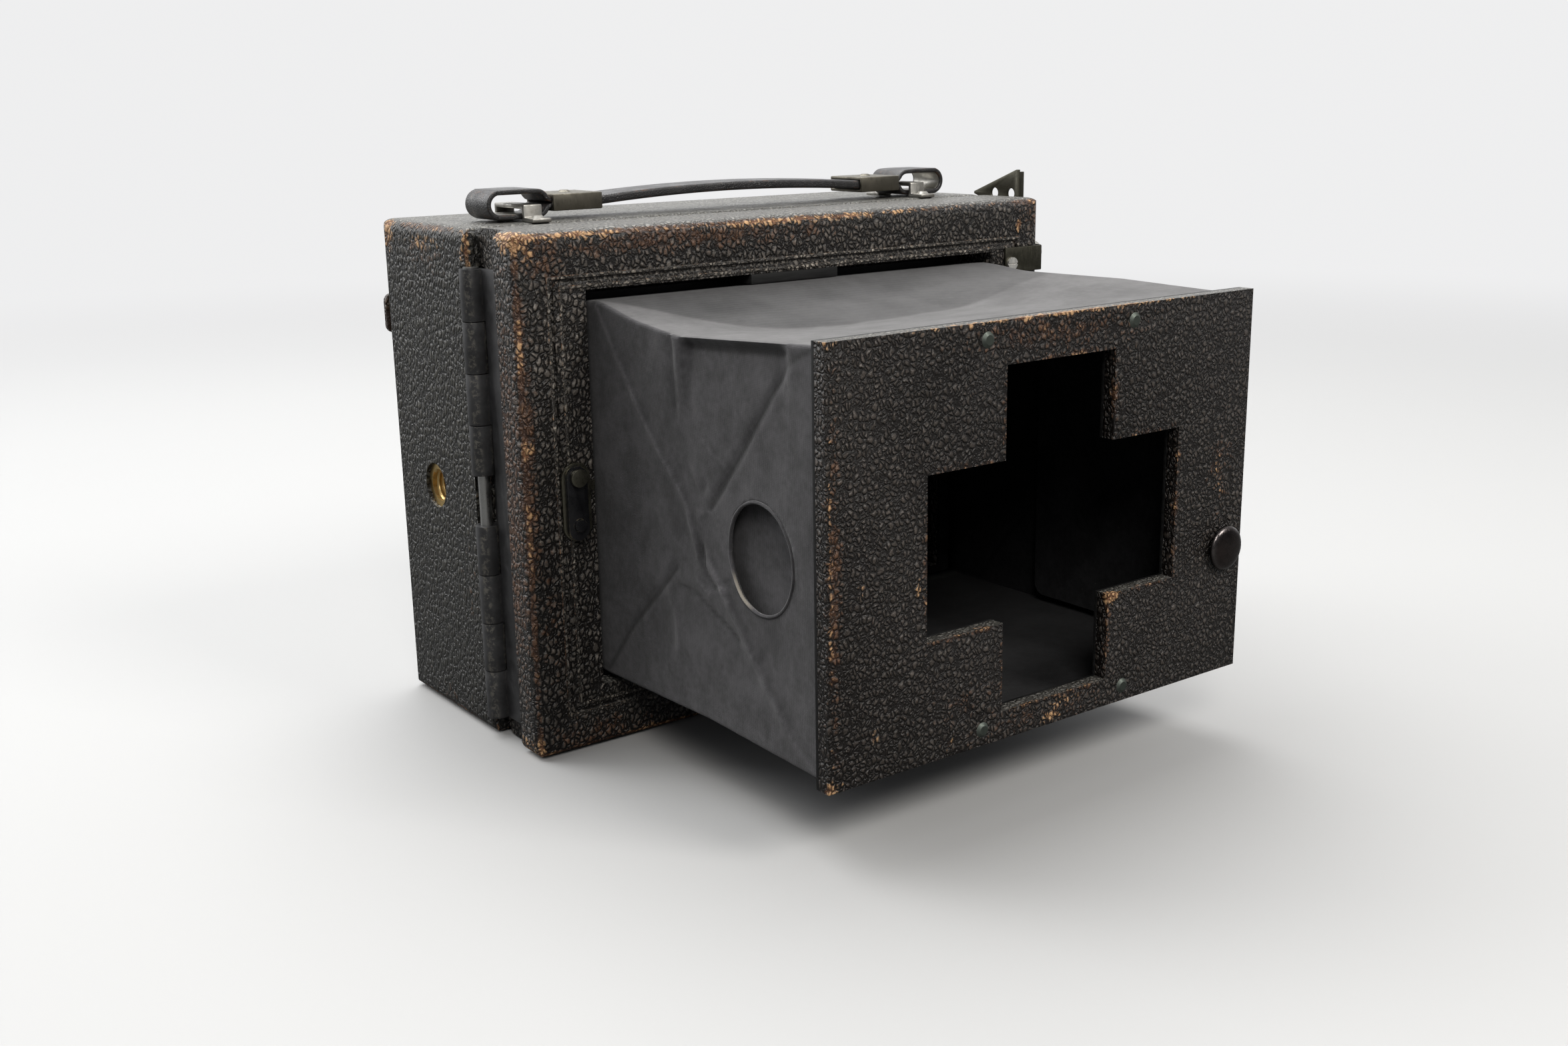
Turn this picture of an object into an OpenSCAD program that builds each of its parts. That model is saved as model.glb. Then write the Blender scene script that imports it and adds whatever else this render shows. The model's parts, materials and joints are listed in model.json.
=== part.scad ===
// Folding plate camera with a focusing hood on its hinged back.
// X runs along the camera, Y from the hood towards the lens, Z up, in millimetres.
// The origin is the centre of the base of the main box.

/* [Main box] */
// Length of the camera
body_w = 161; // [150:1:180]
// Height of the camera
body_h = 123; // [118:1:135]
// Depth of the main box
box_d = 47; // [45:0.5:52]
// Thickness of the wooden walls with their leather
wall = 6; // [5:0.5:7]
// Thickness of the leather
leather_t = 1; // [0.8:0.1:1.2]
// Radius of the outline's corners
corner_r = 3; // [2:0.5:4]
// Radius of the worn edges of the main box
edge_r = 2.4; // [1:0.2:2.8]
// Thickness of the rim round the front opening
rim_t = 3.5; // [3:0.25:5]
// Width of the front opening
front_open_w = 140; // [138:0.5:144]
// Height of the front opening
front_open_h = 100; // [96:0.5:104]

/* [Back door] */
// Thickness of the hinged back
door_t = 22.2; // [21:0.2:26]
// Radius of the worn edges of the back
door_edge_r = 3.2; // [2:0.2:3.4]
// Gap between the back and the main box
joint_gap = 0.3; // [0.2:0.05:0.5]
// Depth of the full-width rim of the back
door_rim = 9; // [7:0.5:11]
// Depth of the recessed strip behind the rim that holds the hinge leaf
strip_in = 3.5; // [3:0.25:4.5]
// Width of the hood recess
recess_w = 125; // [122:0.5:128]
// Height of the hood recess
recess_h = 92; // [89:0.5:94]
// Height of the bottom of the recess above the base
recess_z = 15.6; // [14:0.2:17]
// Gap under the back
door_low = 0.1; // [0.1:0.1:0.5]
// Extra height of the recess above the board
recess_over = 1.8; // [1:0.1:2.4]
// Depth of the recess
recess_d = 14.5; // [14:0.25:16]
// Width of the picture opening behind the ground glass
view_w = 113; // [110:0.5:116]
// Height of the picture opening
view_h = 83; // [80:0.5:85]
// Width of the tooled line pressed into the leather
line_w = 0.8; // [0.5:0.1:1.2]
// Depth of the tooled line
line_in = 0.5; // [0.3:0.1:0.8]
// Distance from the recess to the tooled line beside it
line_side = 8.3; // [7:0.1:9]
// Distance from the recess to the tooled line above it
line_over = 2; // [1.4:0.1:2.4]
// Distance from the recess to the tooled line below it
line_under = 4.7; // [4:0.1:6]

/* [Hinge] */
// Radius of the hinge barrel
barrel_r = 2.75; // [2.5:0.05:3]
// Radius of the hinge pin
hinge_pin_r = 1.45; // [1.2:0.05:1.6]
// Distance of the pin's axis inside the side of the box
pin_inset = 1; // [0.6:0.1:1.5]
// Height of the bottom of the hinge
hinge_low = 5; // [4:0.5:8]
// Length of one knuckle
knuckle = 12.1; // [11:0.1:12.2]
// Thickness of the hinge leaves
leaf_t = 1.1; // [0.8:0.1:1.4]
// Width of the leaf that is let into the box
box_leaf_w = 11; // [8:0.5:13]
// Radial running clearance of pins, shafts and knuckles
fit = 0.05; // [0.03:0.01:0.08]

/* [Ground glass] */
// Width of the ground glass
glass_w = 121; // [118:0.5:124]
// Height of the ground glass
glass_h = 90.6; // [88:0.2:92]
// Thickness of the ground glass
glass_t = 1.8; // [1.2:0.1:2.2]
// Width of the frame that keeps the glass in
keeper_w = 5; // [4:0.5:6]
// Thickness of that frame
keeper_t = 1.2; // [0.8:0.1:1.6]

/* [Hood] */
// Distance the hood board stands out from the back
hood_reach = 86.3; // [80:0.5:90]
// Thickness of the hood board without its backing
board_t = 3.2; // [3:0.1:4]
// Thickness of the black backing
backing_t = 0.8; // [0.6:0.1:1]
// Play between the board and the sides of the recess
board_play = 0.6; // [0.4:0.1:1]
// Play between the board and the top and bottom of the recess
board_play_z = 0.9; // [0.6:0.1:1.4]
// Distance of the folded board's face inside the face of the back
flush = 0.4; // [0.2:0.1:1]
// Thickness of the hood cloth
cloth_t = 0.8; // [0.6:0.1:1]
// Distance of the cloth inside the walls of the recess
cloth_in = 2.2; // [1.8:0.1:2.6]
// Distance of the cloth inside the edge of the board
cloth_step = 1; // [0.6:0.1:1.4]
// Width of the sides of the frame that clamps the cloth
clamp_w = 6; // [5:0.25:7]
// Width of the top and bottom of that frame
clamp_h = 4.5; // [4:0.25:5.5]
// Depth of the creases in the sides of the hood
crease_side = 1.6; // [0.5:0.1:1.8]
// Depth of the cross fold in the top and bottom of the hood
crease_top = 1.4; // [0.4:0.1:1.6]
// Radius of the finger hole in the left side of the hood
finger_r = 12.5; // [11:0.5:13.5]
// Distance of the finger hole's centre from the face of the back
finger_y = 63.7; // [60:0.5:66]
// Height of the finger hole's centre
finger_z = 59.7; // [56:0.5:64]

/* [Cross opening] */
// Width of the upright arm
cross_arm = 32; // [26:0.5:36]
// Height of the lying arm
cross_bar = 35; // [28:0.5:38]
// Height of the whole cross
cross_h = 74.6; // [66:0.5:76]
// Width of the whole cross
cross_w = 74.6; // [66:0.5:76]
// Offset of the cross from the middle of the board, along the board
cross_x = 1; // [0:0.2:2]
// Offset of the cross from the middle of the board, upwards
cross_z = -1.4; // [-2:0.2:0]

/* [Hood flaps] */
// Length of a flap from its hinge
flap_len = 55; // [50:0.5:56]
// Thickness of a flap
flap_t = 1.6; // [1.2:0.1:1.8]
// Distance of the flap's hinge axis inside the edge of the board
flap_in = 5.8; // [5.6:0.1:6.4]
// Radius of the flap's hinge barrel
flap_barrel_r = 1.5; // [1.4:0.05:1.7]
// Radius of the flap's pivot studs
stud_r = 0.7; // [0.6:0.05:0.8]
// Distance of the flap inside the top and bottom of the board
flap_in_z = 3.4; // [3:0.1:4]

/* [Board fittings] */
// Radius of the turning knob
knob_r = 5.3; // [4.5:0.1:5.6]
// Height of the turning knob above the leather
knob_h = 2.6; // [2.4:0.1:3.2]
// Distance of the knob's axis from the right edge of the board
knob_in = 6.6; // [6.2:0.1:7]
// Height of the knob's axis
knob_z = 46.9; // [44:0.1:52]
// Radius of the knob's shaft
knob_shaft_r = 1.6; // [1.4:0.1:1.8]
// Length of the knob's tongue from the axis
tongue_len = 8.4; // [8:0.1:8.8]
// Width of the tongue
tongue_w = 4; // [3:0.2:4.4]
// Thickness of the tongue
tongue_t = 1.4; // [1:0.1:1.5]
// Radius of a rivet head
rivet_r = 1.7; // [1.3:0.1:2]
// Height of a rivet head
rivet_h = 0.5; // [0.3:0.1:0.8]
// Distance of the rivets from the middle of the cross, along the board
rivet_x = 21.5; // [18:0.5:24]
// Distance of the rivets inside the top and bottom edges of the board
rivet_in = 3.6; // [3:0.1:4]
// Radius of a rivet's shank
shank_r = 0.8; // [0.6:0.1:1]
// Distance of the left end of the dark top tab from the middle
tab_left = 17; // [14:0.5:20]
// Distance of the right end of the dark top tab from the middle
tab_right = 9.5; // [6:0.5:12]
// Depth of the dark top tab inside the recess
tab_d = 7; // [4:0.5:9]

/* [Swinging catch] */
// Width of the catch's base plate
catch_w = 7.4; // [6.5:0.1:7.8]
// Length of the catch's base plate
catch_h = 18.5; // [16:0.5:20]
// Height of the middle of the base plate
catch_z = 61.3; // [56:0.5:66]
// Distance of the catch's middle from the recess
catch_off = 5.2; // [4.8:0.1:5.6]
// Thickness of the base plate
catch_t = 0.8; // [0.6:0.1:1]
// Width of the swinging arm
arm_w = 5.4; // [5:0.1:5.6]
// Length of the arm from its pivot to the middle of its round end
arm_len = 12.2; // [11:0.2:13]
// Thickness of the arm
arm_t = 1.2; // [1:0.1:1.5]
// Radius of the stud that the arm swings on
arm_stud_r = 1.1; // [0.9:0.1:1.3]

/* [Back latch] */
// Height of the latch above the base
latch_z = 108; // [104:0.5:110]
// Height of the latch plate
latch_h = 9; // [8:0.5:10]
// Length of the latch plate on the face of the back
latch_front = 14.5; // [12:0.5:15]
// Length of the latch plate on the side of the back
latch_side = 17; // [16:0.5:18]
// Thickness of the latch plate
latch_t = 0.8; // [0.6:0.1:1]
// Travel of the bolt
bolt_travel = 6; // [4:0.5:6.5]
// Radius of the bolt's button
bolt_knob_r = 2.8; // [2.4:0.1:3.2]
// Width of the bolt
bolt_w = 2; // [1.6:0.1:2.4]
// Height of the bolt
bolt_h = 3; // [2.4:0.2:3.4]
// Length of the bolt
bolt_len = 18.5; // [16:0.5:19]
// Distance of the bolt's button from the face of the back
bolt_knob_y = 4.4; // [4.2:0.1:6]
// Radius of the neck of the bolt's button
neck_r = 1.2; // [1:0.1:1.3]
// Clearance round the bolt
bolt_play = 0.2; // [0.15:0.05:0.3]

/* [Carrying handle] */
// Distance of the handle's middle line from the joint of the back
handle_y = 12.6; // [12:0.2:20]
// Length of the whole handle
handle_len = 142; // [138:1:150]
// Width of the strap
strap_w = 12; // [10:0.5:14]
// Thickness of one layer of the strap
strap_t = 1.2; // [1:0.1:1.4]
// Length of each end loop outside its sleeve
loop_len = 17; // [16.5:0.5:20]
// Height of each end loop
loop_h = 7; // [6.9:0.1:8]
// Gap between the loops and the top of the box
loop_lift = 0.6; // [0.4:0.1:1.2]
// Height of the strap's bow in the middle
strap_bow = 1.6; // [0:0.2:3]
// Length of the sleeve that closes each loop
sleeve_len = 13.5; // [10:0.5:15]
// Thickness of the sleeve
sleeve_t = 0.8; // [0.6:0.1:1]
// Thickness of the staple
metal_t = 1; // [0.8:0.1:1.2]
// Length of a staple along the camera
staple_len = 5; // [4:0.5:6]
// Distance of the staples from the middle of the camera
staple_x = 60; // [59:0.5:62]
// Length of a staple's foot
foot_len = 5.5; // [5:0.5:7]
// Height that the handle lifts in its staples
handle_travel = 1; // [0.6:0.1:1.4]

/* [Peep sight] */
// Distance of the sight's near end from the face of the back
sight_y = 10.2; // [9.8:0.1:11]
// Length of the sight leaf from its near end to its tip
sight_len = 17.7; // [16:0.1:18]
// Length of the leaf's hinge
sight_hinge_len = 10.6; // [9:0.1:10.8]
// Distance of the hinge below the top of the camera
sight_drop = 4; // [3.9:0.1:5]
// Height of the sight leaf above its hinge, at the near end
sight_h = 11; // [10:0.1:12]
// Height of the leaf's tip above the hinge
sight_tip = 4.6; // [4:0.1:5]
// Thickness of the sight leaf
sight_t = 0.8; // [0.6:0.1:1]
// Width of the flange bent outwards at the near end
sight_flange = 1.5; // [1:0.1:2]
// Radius of the peep holes
peep_r = 1.5; // [1.2:0.1:1.6]
// Height of the peep holes above the hinge
peep_up = 4.4; // [4:0.1:4.8]
// Distance of the nearer peep hole from the near end of the leaf
peep_near = 2.9; // [2.6:0.1:3.4]
// Distance between the two peep holes
peep_step = 6.5; // [5:0.1:7]
// Thickness of the sight's base plate
sight_base_t = 0.5; // [0.4:0.1:0.8]
// Height of the sight's base plate
sight_base_h = 5; // [4:0.5:5.5]
// Radius of the sight's hinge wire
sight_pin_r = 0.5; // [0.4:0.05:0.6]

/* [Tripod bushes] */
// Radius of the threaded hole
bush_hole_r = 4; // [3.8:0.05:4.2]
// Outer radius of the bush
bush_r = 7; // [6.4:0.1:7.5]
// Radius of the hole in the leather over the side bush
bush_mouth_r = 5.6; // [5:0.1:5.8]
// Thickness of the closed inner end of a bush
bush_floor = 0.8; // [0.6:0.1:1.2]
// Distance of the side bush from the joint of the back
side_bush_y = 25; // [22:0.5:28]
// Height of the side bush
side_bush_z = 58.6; // [55:0.2:64]

/* [Front board] */
// Thickness of the front board
front_t = 3.5; // [3:0.1:4]
// Gap round the front board
front_play = 0.6; // [0.4:0.1:1]
// Travel of the front board
front_travel = 75; // [60:1:78]
// Thickness of the trim bead
trim_t = 0.8; // [0.6:0.1:1]
// Width of the trim bead
trim_w = 3; // [2:0.25:4]

/* [Lens] */
// Radius of the lens flange
flange_r = 29; // [26:0.5:31]
// Thickness of the lens flange
flange_t = 2.4; // [2:0.1:3]
// Radius of the barrel behind the flange
rear_r = 18; // [16:0.5:19]
// Radius of the barrel in front of the flange
barrel_out_r = 21; // [20:0.25:22]
// Radius of the bore of the barrel
barrel_in_r = 15; // [13:0.5:15.5]
// Length of the barrel in front of the flange
barrel_len = 20; // [18:0.5:24]
// Length of the barrel behind the front board
rear_len = 7; // [5:0.5:8]
// Thickness of the lens glasses
lens_t = 4; // [3:0.25:5]
// Radius of the iris opening
iris_r = 8; // [5:0.5:11]
// Outer radius of the aperture ring
ring_r = 24; // [23:0.25:25]
// Width of the aperture ring
ring_w = 6; // [5:0.5:7]

/* [Bellows and struts] */
// Width of the bellows
bellows_w = 100; // [96:0.5:104]
// Height of the bellows
bellows_h = 70; // [68:0.5:72]
// Depth of the bellows folds
bellows_fold = 4; // [3:0.25:5]
// Distance from the front of the box to the panel behind the bellows
panel_y = 15.75; // [15.5:0.25:17]
// Thickness of that panel
panel_t = 4; // [3:0.25:4.5]
// Length of a strut between its ends' centres
strut_len = 120; // [118:1:122]
// Width of a strut
strut_w = 6.4; // [5.6:0.2:6.6]
// Thickness of a strut
strut_t = 1.5; // [1.2:0.1:1.6]
// Distance of the strut pivots inside the ends of the camera
pivot_in = 14.5; // [13.5:0.25:16]
// Radius of the strut spindles
spindle_r = 1.6; // [1.4:0.1:2]
// Gap between struts, bellows and brackets
strut_gap = 1.2; // [1:0.1:1.4]

/* [Shutter] */
// Radius of the blind's rollers
roller_r = 5; // [4:0.25:5.2]
// Radius of the roller shafts
shaft_r = 2.5; // [2:0.1:2.8]
// Distance of the rollers' axes from the joint of the back
roller_y = 16.5; // [16:0.25:17]
// Gap between the rollers and the walls
roller_gap = 2; // [1.5:0.25:2.5]
// Thickness of the blind
blind_t = 0.4; // [0.3:0.1:0.6]
// Height of the slit in the blind
slit_h = 6; // [3:0.5:20]
// Radius of the winding knob
wind_r = 10; // [8:0.5:11]
// Height of the winding knob
wind_h = 8; // [6:0.5:10]
// Radius of the tension knob
tension_r = 8; // [6:0.5:9]
// Height of the tension knob
tension_h = 6; // [5:0.5:8]
// Outer radius of the bushes in the walls
wall_bush_r = 4.2; // [3.8:0.1:4.5]

/* [Buttons] */
// Radius of the release button
button_r = 3.6; // [3:0.1:4.5]
// Thickness of the release button
button_t = 2.4; // [2:0.1:3]
// Travel of the release button
button_travel = 1.6; // [1:0.1:2]
// Radius of the stems of the release button and the front catch
stem_r = 1.5; // [1.2:0.1:1.8]
// Width of the front catch
front_catch_w = 5.4; // [4.5:0.1:6]
// Height of the front catch
front_catch_h = 10; // [8:0.5:12]
// Travel of the front catch
catch_travel = 1.2; // [0.8:0.1:1.4]
// Height of the middle of the front catch
front_catch_z = 99; // [96:0.5:101]

/* [Plate chamber] */
// Distance from the joint of the back to the plate frame
plate_frame_y = 5.6; // [5:0.1:6]
// Thickness of the plate frame
plate_frame_t = 2; // [1.5:0.1:2.2]
// Width of the opening in the plate frame
plate_w = 118; // [114:0.5:119]
// Height of the opening in the plate frame
plate_h = 86; // [82:0.5:88]
// Width of the plate rails
rail_w = 3; // [2.5:0.25:4]

/* [Hidden] */
$fn = 64;

// A hair by which cutting tools run past the faces that they cut.
cut = 1;
half_w = body_w / 2;
mid_z = body_h / 2;
box_back = -box_d / 2;
box_front = box_d / 2;
door_back = box_back - joint_gap;
door_face = door_back - door_t;
rim_back = door_face + door_rim;
inner_w = body_w - 2 * wall;
inner_h = body_h - 2 * wall;

recess_mid = recess_z + recess_h / 2;
recess_top = recess_z + recess_h + recess_over;
line_h = recess_top + line_over - recess_z + line_under;
line_z = recess_z - line_under + line_h / 2;
recess_back = door_face + recess_d;
glass_back = door_back - keeper_t;
glass_front = glass_back - glass_t;

board_w = recess_w - 2 * board_play;
board_h = recess_h - 2 * board_play_z;
board_low = recess_z + board_play_z;
board_top = board_low + board_h;
board_face = door_face - hood_reach;
board_back = board_face + board_t;
backing_back = board_back + backing_t;
hood_travel = hood_reach + flush;
clamp_t = 1;
clamp_front = recess_back - clamp_t;

pin_x = -half_w + pin_inset;
pin_y = (box_back + door_back) / 2;
knuckles = 9;
hinge_top = hinge_low + knuckles * knuckle;
barrel_gap = 0.3;
leaf_face = -half_w + strip_in;

strap_y = box_back + handle_y;
loop_low = body_h + loop_lift;
loop_x = handle_len / 2;
loop_mid = loop_low + loop_h / 2;
sleeve_out = loop_x - loop_len;
sleeve_in = sleeve_out - sleeve_len;
strap_end = sleeve_out - sleeve_len / 2;

front_back = box_front - front_t - 0.25;
panel_front = box_front - panel_y;
bellows_len = front_back - panel_front;
pivot_x = half_w - pivot_in;
pivot_y = panel_front + bellows_len / 2 + 1.5;
strut_z = bellows_h / 2 + strut_gap;
spindle_z = strut_z + 2 * strut_t + 2 * strut_gap;
bracket_t = 2;
roller_z = inner_h / 2 - roller_r - roller_gap;
shaft_y = box_back + roller_y;
blind_y = shaft_y - roller_r - 0.3;
flange_front = front_back + front_t + flange_t;
barrel_front = flange_front + barrel_len;
ring_back = flange_front + 4;

// A box from its low corner to its high corner.
module block(low, high) {
    translate(low)
        cube([high[0] - low[0], high[1] - low[1], high[2] - low[2]]);
}

// A round bar of radius r along Y from y0 to y1.
module bar_y(r, x, z, y0, y1) {
    translate([x, y0, z])
        rotate([-90, 0, 0])
            cylinder(r = r, h = y1 - y0);
}

// A round bar of radius r along X from x0 to x1.
module bar_x(r, y, z, x0, x1) {
    translate([x0, y, z])
        rotate([0, 90, 0])
            cylinder(r = r, h = x1 - x0);
}

// A round bar of radius r along Z from z0 to z1.
module bar_z(r, x, y, z0, z1) {
    translate([x, y, z0])
        cylinder(r = r, h = z1 - z0);
}

// A rectangle about the origin with round corners.
module round_rect(w, h, r) {
    square([w - 2 * r, h], center = true);
    square([w, h - 2 * r], center = true);
    for (x = [-1, 1], z = [-1, 1])
        translate([x * (w / 2 - r), z * (h / 2 - r)])
            circle(r = r);
}

// A plate across Y with round corners, centred on x and z.
module plate_y(w, h, r, x, z, y0, y1) {
    translate([x, y0, z])
        rotate([-90, 0, 0])
            linear_extrude(y1 - y0)
                round_rect(w, h, r);
}

// A block with its edges rounded to radius r, from y0 to y1, standing on z = low.
module soft_block(w, h, y0, y1, low, r) {
    depth = y1 - y0;
    middle = [0, (y0 + y1) / 2, low + h / 2];
    translate(middle)
        intersection() {
            rotate([-90, 0, 0])
                linear_extrude(depth, center = true)
                    round_rect(w, h, corner_r);
            linear_extrude(h, center = true)
                round_rect(w, depth, r);
            rotate([0, 90, 0])
                linear_extrude(w, center = true)
                    round_rect(h, depth, r);
        }
}

// The groove that the hinge barrel lies in.
module barrel_groove() {
    bar_z(barrel_r + barrel_gap, pin_x, pin_y, hinge_low - barrel_gap, hinge_top + barrel_gap);
}

module body_box() {
    color([0.19, 0.17, 0.15])
    difference() {
        soft_block(body_w, body_h, box_back, box_front, 0, edge_r);
        block([-inner_w / 2, box_back - cut, wall],
            [inner_w / 2, box_front - rim_t, body_h - wall]);
        block([-front_open_w / 2, box_front - rim_t - cut, mid_z - front_open_h / 2],
            [front_open_w / 2, box_front + cut, mid_z + front_open_h / 2]);
        bar_x(bush_mouth_r, box_back + side_bush_y, side_bush_z,
            -half_w - cut, -half_w + leather_t + cut);
        bar_x(bush_r, box_back + side_bush_y, side_bush_z,
            -half_w + leather_t, -inner_w / 2 + cut);
        bar_z(bush_r, 0, 0, -cut, wall + cut);
        for (z = [-1, 1])
            bar_x(wall_bush_r, shaft_y, mid_z + z * roller_z, inner_w / 2 - cut, half_w + cut);
        bar_x(stem_r + fit, 0, button_z, inner_w / 2 - cut, half_w + cut);
        bar_y(stem_r + fit, front_catch_x, front_catch_z,
            box_front - rim_t - catch_travel - 0.5, box_front + cut);
        barrel_groove();
        block([pin_x, box_back - cut, hinge_low],
            [pin_x + box_leaf_w, box_back + leaf_t, hinge_top]);
        block([bolt_x - bolt_w / 2 - bolt_play, box_back - cut, latch_z - bolt_h / 2 - bolt_play],
            [bolt_x + bolt_w / 2 + bolt_play, box_back + bolt_travel + cut,
            latch_z + bolt_h / 2 + bolt_play]);
        block([bolt_x - keeper_half, box_back - cut, latch_z - keeper_half_z],
            [bolt_x + keeper_half, box_back + latch_t, latch_z + keeper_half_z]);
    }
}

button_z = mid_z + 14;
front_catch_x = -half_w + front_catch_w / 2 + 0.4;
bolt_x = half_w - wall / 2;
keeper_half = 2.2;
keeper_half_z = 5;

// The plate with a square hole, let into the edge of the box, that the bolt enters.
module latch_keeper() {
    color([0.72, 0.6, 0.35])
    difference() {
        block([bolt_x - keeper_half, box_back, latch_z - keeper_half_z],
            [bolt_x + keeper_half, box_back + latch_t, latch_z + keeper_half_z]);
        block([bolt_x - bolt_w / 2 - bolt_play, box_back - cut, latch_z - bolt_h / 2 - bolt_play],
            [bolt_x + bolt_w / 2 + bolt_play, box_back + latch_t + cut,
            latch_z + bolt_h / 2 + bolt_play]);
    }
}

// The bead round the front opening.
module front_trim() {
    color([0.7, 0.68, 0.62])
    difference() {
        plate_y(front_open_w + 2 * trim_w, front_open_h + 2 * trim_w, 2,
            0, mid_z, box_front, box_front + trim_t);
        block([-front_open_w / 2, box_front - cut, mid_z - front_open_h / 2],
            [front_open_w / 2, box_front + trim_t + cut, mid_z + front_open_h / 2]);
    }
}

// A brass bush of length len with its mouth at the origin and its blind hole along -Z.
module tripod_bush(len) {
    difference() {
        translate([0, 0, -len])
            cylinder(r = bush_r, h = len);
        translate([0, 0, -len + bush_floor])
            cylinder(r = bush_hole_r, h = len);
    }
}

module side_tripod_bush() {
    color([0.72, 0.55, 0.28])
    translate([-half_w + leather_t, box_back + side_bush_y, side_bush_z])
        rotate([0, -90, 0])
            tripod_bush(wall - leather_t);
}

module base_tripod_bush() {
    color([0.72, 0.55, 0.28])
    rotate([180, 0, 0])
        tripod_bush(wall);
}

// Height of the bottom of knuckle number i, counted from the base.
function knuckle_z(i) = hinge_low + i * knuckle;

// One hinge knuckle with its bore.
module one_knuckle(i) {
    difference() {
        bar_z(barrel_r, pin_x, pin_y, knuckle_z(i) + 0.1, knuckle_z(i + 1) - 0.1);
        bar_z(hinge_pin_r + fit, pin_x, pin_y, knuckle_z(i) - cut, knuckle_z(i + 1) + cut);
    }
}

// Knuckles 1, 3, 5 and 7 and the leaf let into the edge of the box.
module box_hinge_leaf() {
    color([0.09, 0.09, 0.1])
    difference() {
        union() {
            for (i = [1, 3, 5, 7]) {
                one_knuckle(i);
                block([pin_x + hinge_pin_r + 0.5, box_back - joint_gap / 2, knuckle_z(i) + 0.1],
                    [pin_x + barrel_r + 0.6, box_back + leaf_t, knuckle_z(i + 1) - 0.1]);
            }
            block([pin_x + barrel_r + barrel_gap, box_back, hinge_low],
                [pin_x + box_leaf_w, box_back + leaf_t, hinge_top]);
        }
        bar_z(hinge_pin_r + fit, pin_x, pin_y, hinge_low - cut, hinge_top + cut);
    }
}

// Knuckles 0, 2, 6 and 8 and the leaf on the recessed strip. The middle knuckle is left out,
// so the pin shows there.
module door_hinge_leaf() {
    color([0.09, 0.09, 0.1])
    union() {
        for (i = [0, 2, 6, 8]) {
            one_knuckle(i);
            block([leaf_face - leaf_t, pin_y - barrel_r - 0.8, knuckle_z(i) + 0.1],
                [leaf_face, pin_y - hinge_pin_r - 0.4, knuckle_z(i + 1) - 0.1]);
        }
        block([leaf_face - leaf_t, rim_back + 0.6, hinge_low],
            [leaf_face, pin_y - barrel_r - barrel_gap, hinge_top]);
    }
}

module hinge_pin() {
    color([0.6, 0.6, 0.6])
    union() {
        bar_z(hinge_pin_r, pin_x, pin_y, hinge_low, hinge_top);
        bar_z(hinge_pin_r + 0.4, pin_x, pin_y, hinge_top, hinge_top + 0.3);
    }
}

// A line pressed into the leather round the recess.
module tooled_line() {
    difference() {
        plate_y(recess_w + 2 * (line_side + line_w), line_h + 2 * line_w, 2,
            0, line_z, door_face - cut, door_face + line_in);
        plate_y(recess_w + 2 * line_side, line_h, 1.4,
            0, line_z, door_face - 2 * cut, door_face + 2 * line_in);
    }
}

module door_case() {
    color([0.19, 0.17, 0.15])
    difference() {
        soft_block(body_w, body_h - door_low, door_face, door_back, door_low, door_edge_r);
        block([-half_w - cut, rim_back, -cut], [leaf_face, door_back + cut, body_h + cut]);
        block([-recess_w / 2, door_face - cut, recess_z],
            [recess_w / 2, recess_back, recess_top]);
        block([-view_w / 2, recess_back - cut, recess_mid - view_h / 2],
            [view_w / 2, door_back + cut, recess_mid + view_h / 2]);
        block([-glass_w / 2, glass_front, recess_mid - glass_h / 2],
            [glass_w / 2, door_back + cut, recess_mid + glass_h / 2]);
        barrel_groove();
        tooled_line();
        block([bolt_x - bolt_w / 2 - bolt_play, bolt_back - bolt_play,
            latch_z - bolt_h / 2 - bolt_play],
            [bolt_x + bolt_w / 2 + bolt_play, door_back + cut, latch_z + bolt_h / 2 + bolt_play]);
        neck_slot(bolt_x, half_w + cut);
        knob_slot();
    }
}

// The wall of the recess is slotted where the board knob's tongue turns into it.
module knob_slot() {
    low = door_face + flush + board_t - tongue_t - 0.6;
    block([recess_w / 2 - cut, low, knob_z - tongue_len],
        [recess_w / 2 + tongue_len - knob_in, low + tongue_t + 1.2, knob_z + tongue_w]);
}

module ground_glass() {
    color([0.8, 0.85, 0.85, 0.6])
    block([-glass_w / 2, glass_front, recess_mid - glass_h / 2],
        [glass_w / 2, glass_back, recess_mid + glass_h / 2]);
}

module glass_frame() {
    color([0.3, 0.28, 0.22])
    difference() {
        block([-glass_w / 2, glass_back, recess_mid - glass_h / 2],
            [glass_w / 2, door_back, recess_mid + glass_h / 2]);
        block([-glass_w / 2 + keeper_w, glass_back - cut, recess_mid - glass_h / 2 + keeper_w],
            [glass_w / 2 - keeper_w, door_back + cut, recess_mid + glass_h / 2 - keeper_w]);
    }
}

// The clips that hold the glass frame into the back, let in flush.
module glass_screws() {
    color([0.7, 0.56, 0.3])
    for (x = [-1, 1], z = [-1, 1])
        translate([x * (glass_w / 2 - keeper_w / 2), door_back, recess_mid + z * glass_h / 4])
            rotate([-90, 0, 0])
                cylinder(r = 1.4, h = 0.2);
}

// The frame that clamps the rear edge of the cloth to the bottom of the recess.
module hood_clamp() {
    color([0.1, 0.1, 0.1])
    difference() {
        block([-recess_w / 2 + 0.5, clamp_front, recess_z + 0.5],
            [recess_w / 2 - 0.5, recess_back, recess_z + recess_h - 0.5]);
        block([-recess_w / 2 + clamp_w, clamp_front - cut, recess_z + clamp_h],
            [recess_w / 2 - clamp_w, recess_back + cut, recess_z + recess_h - clamp_h]);
    }
}

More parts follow.
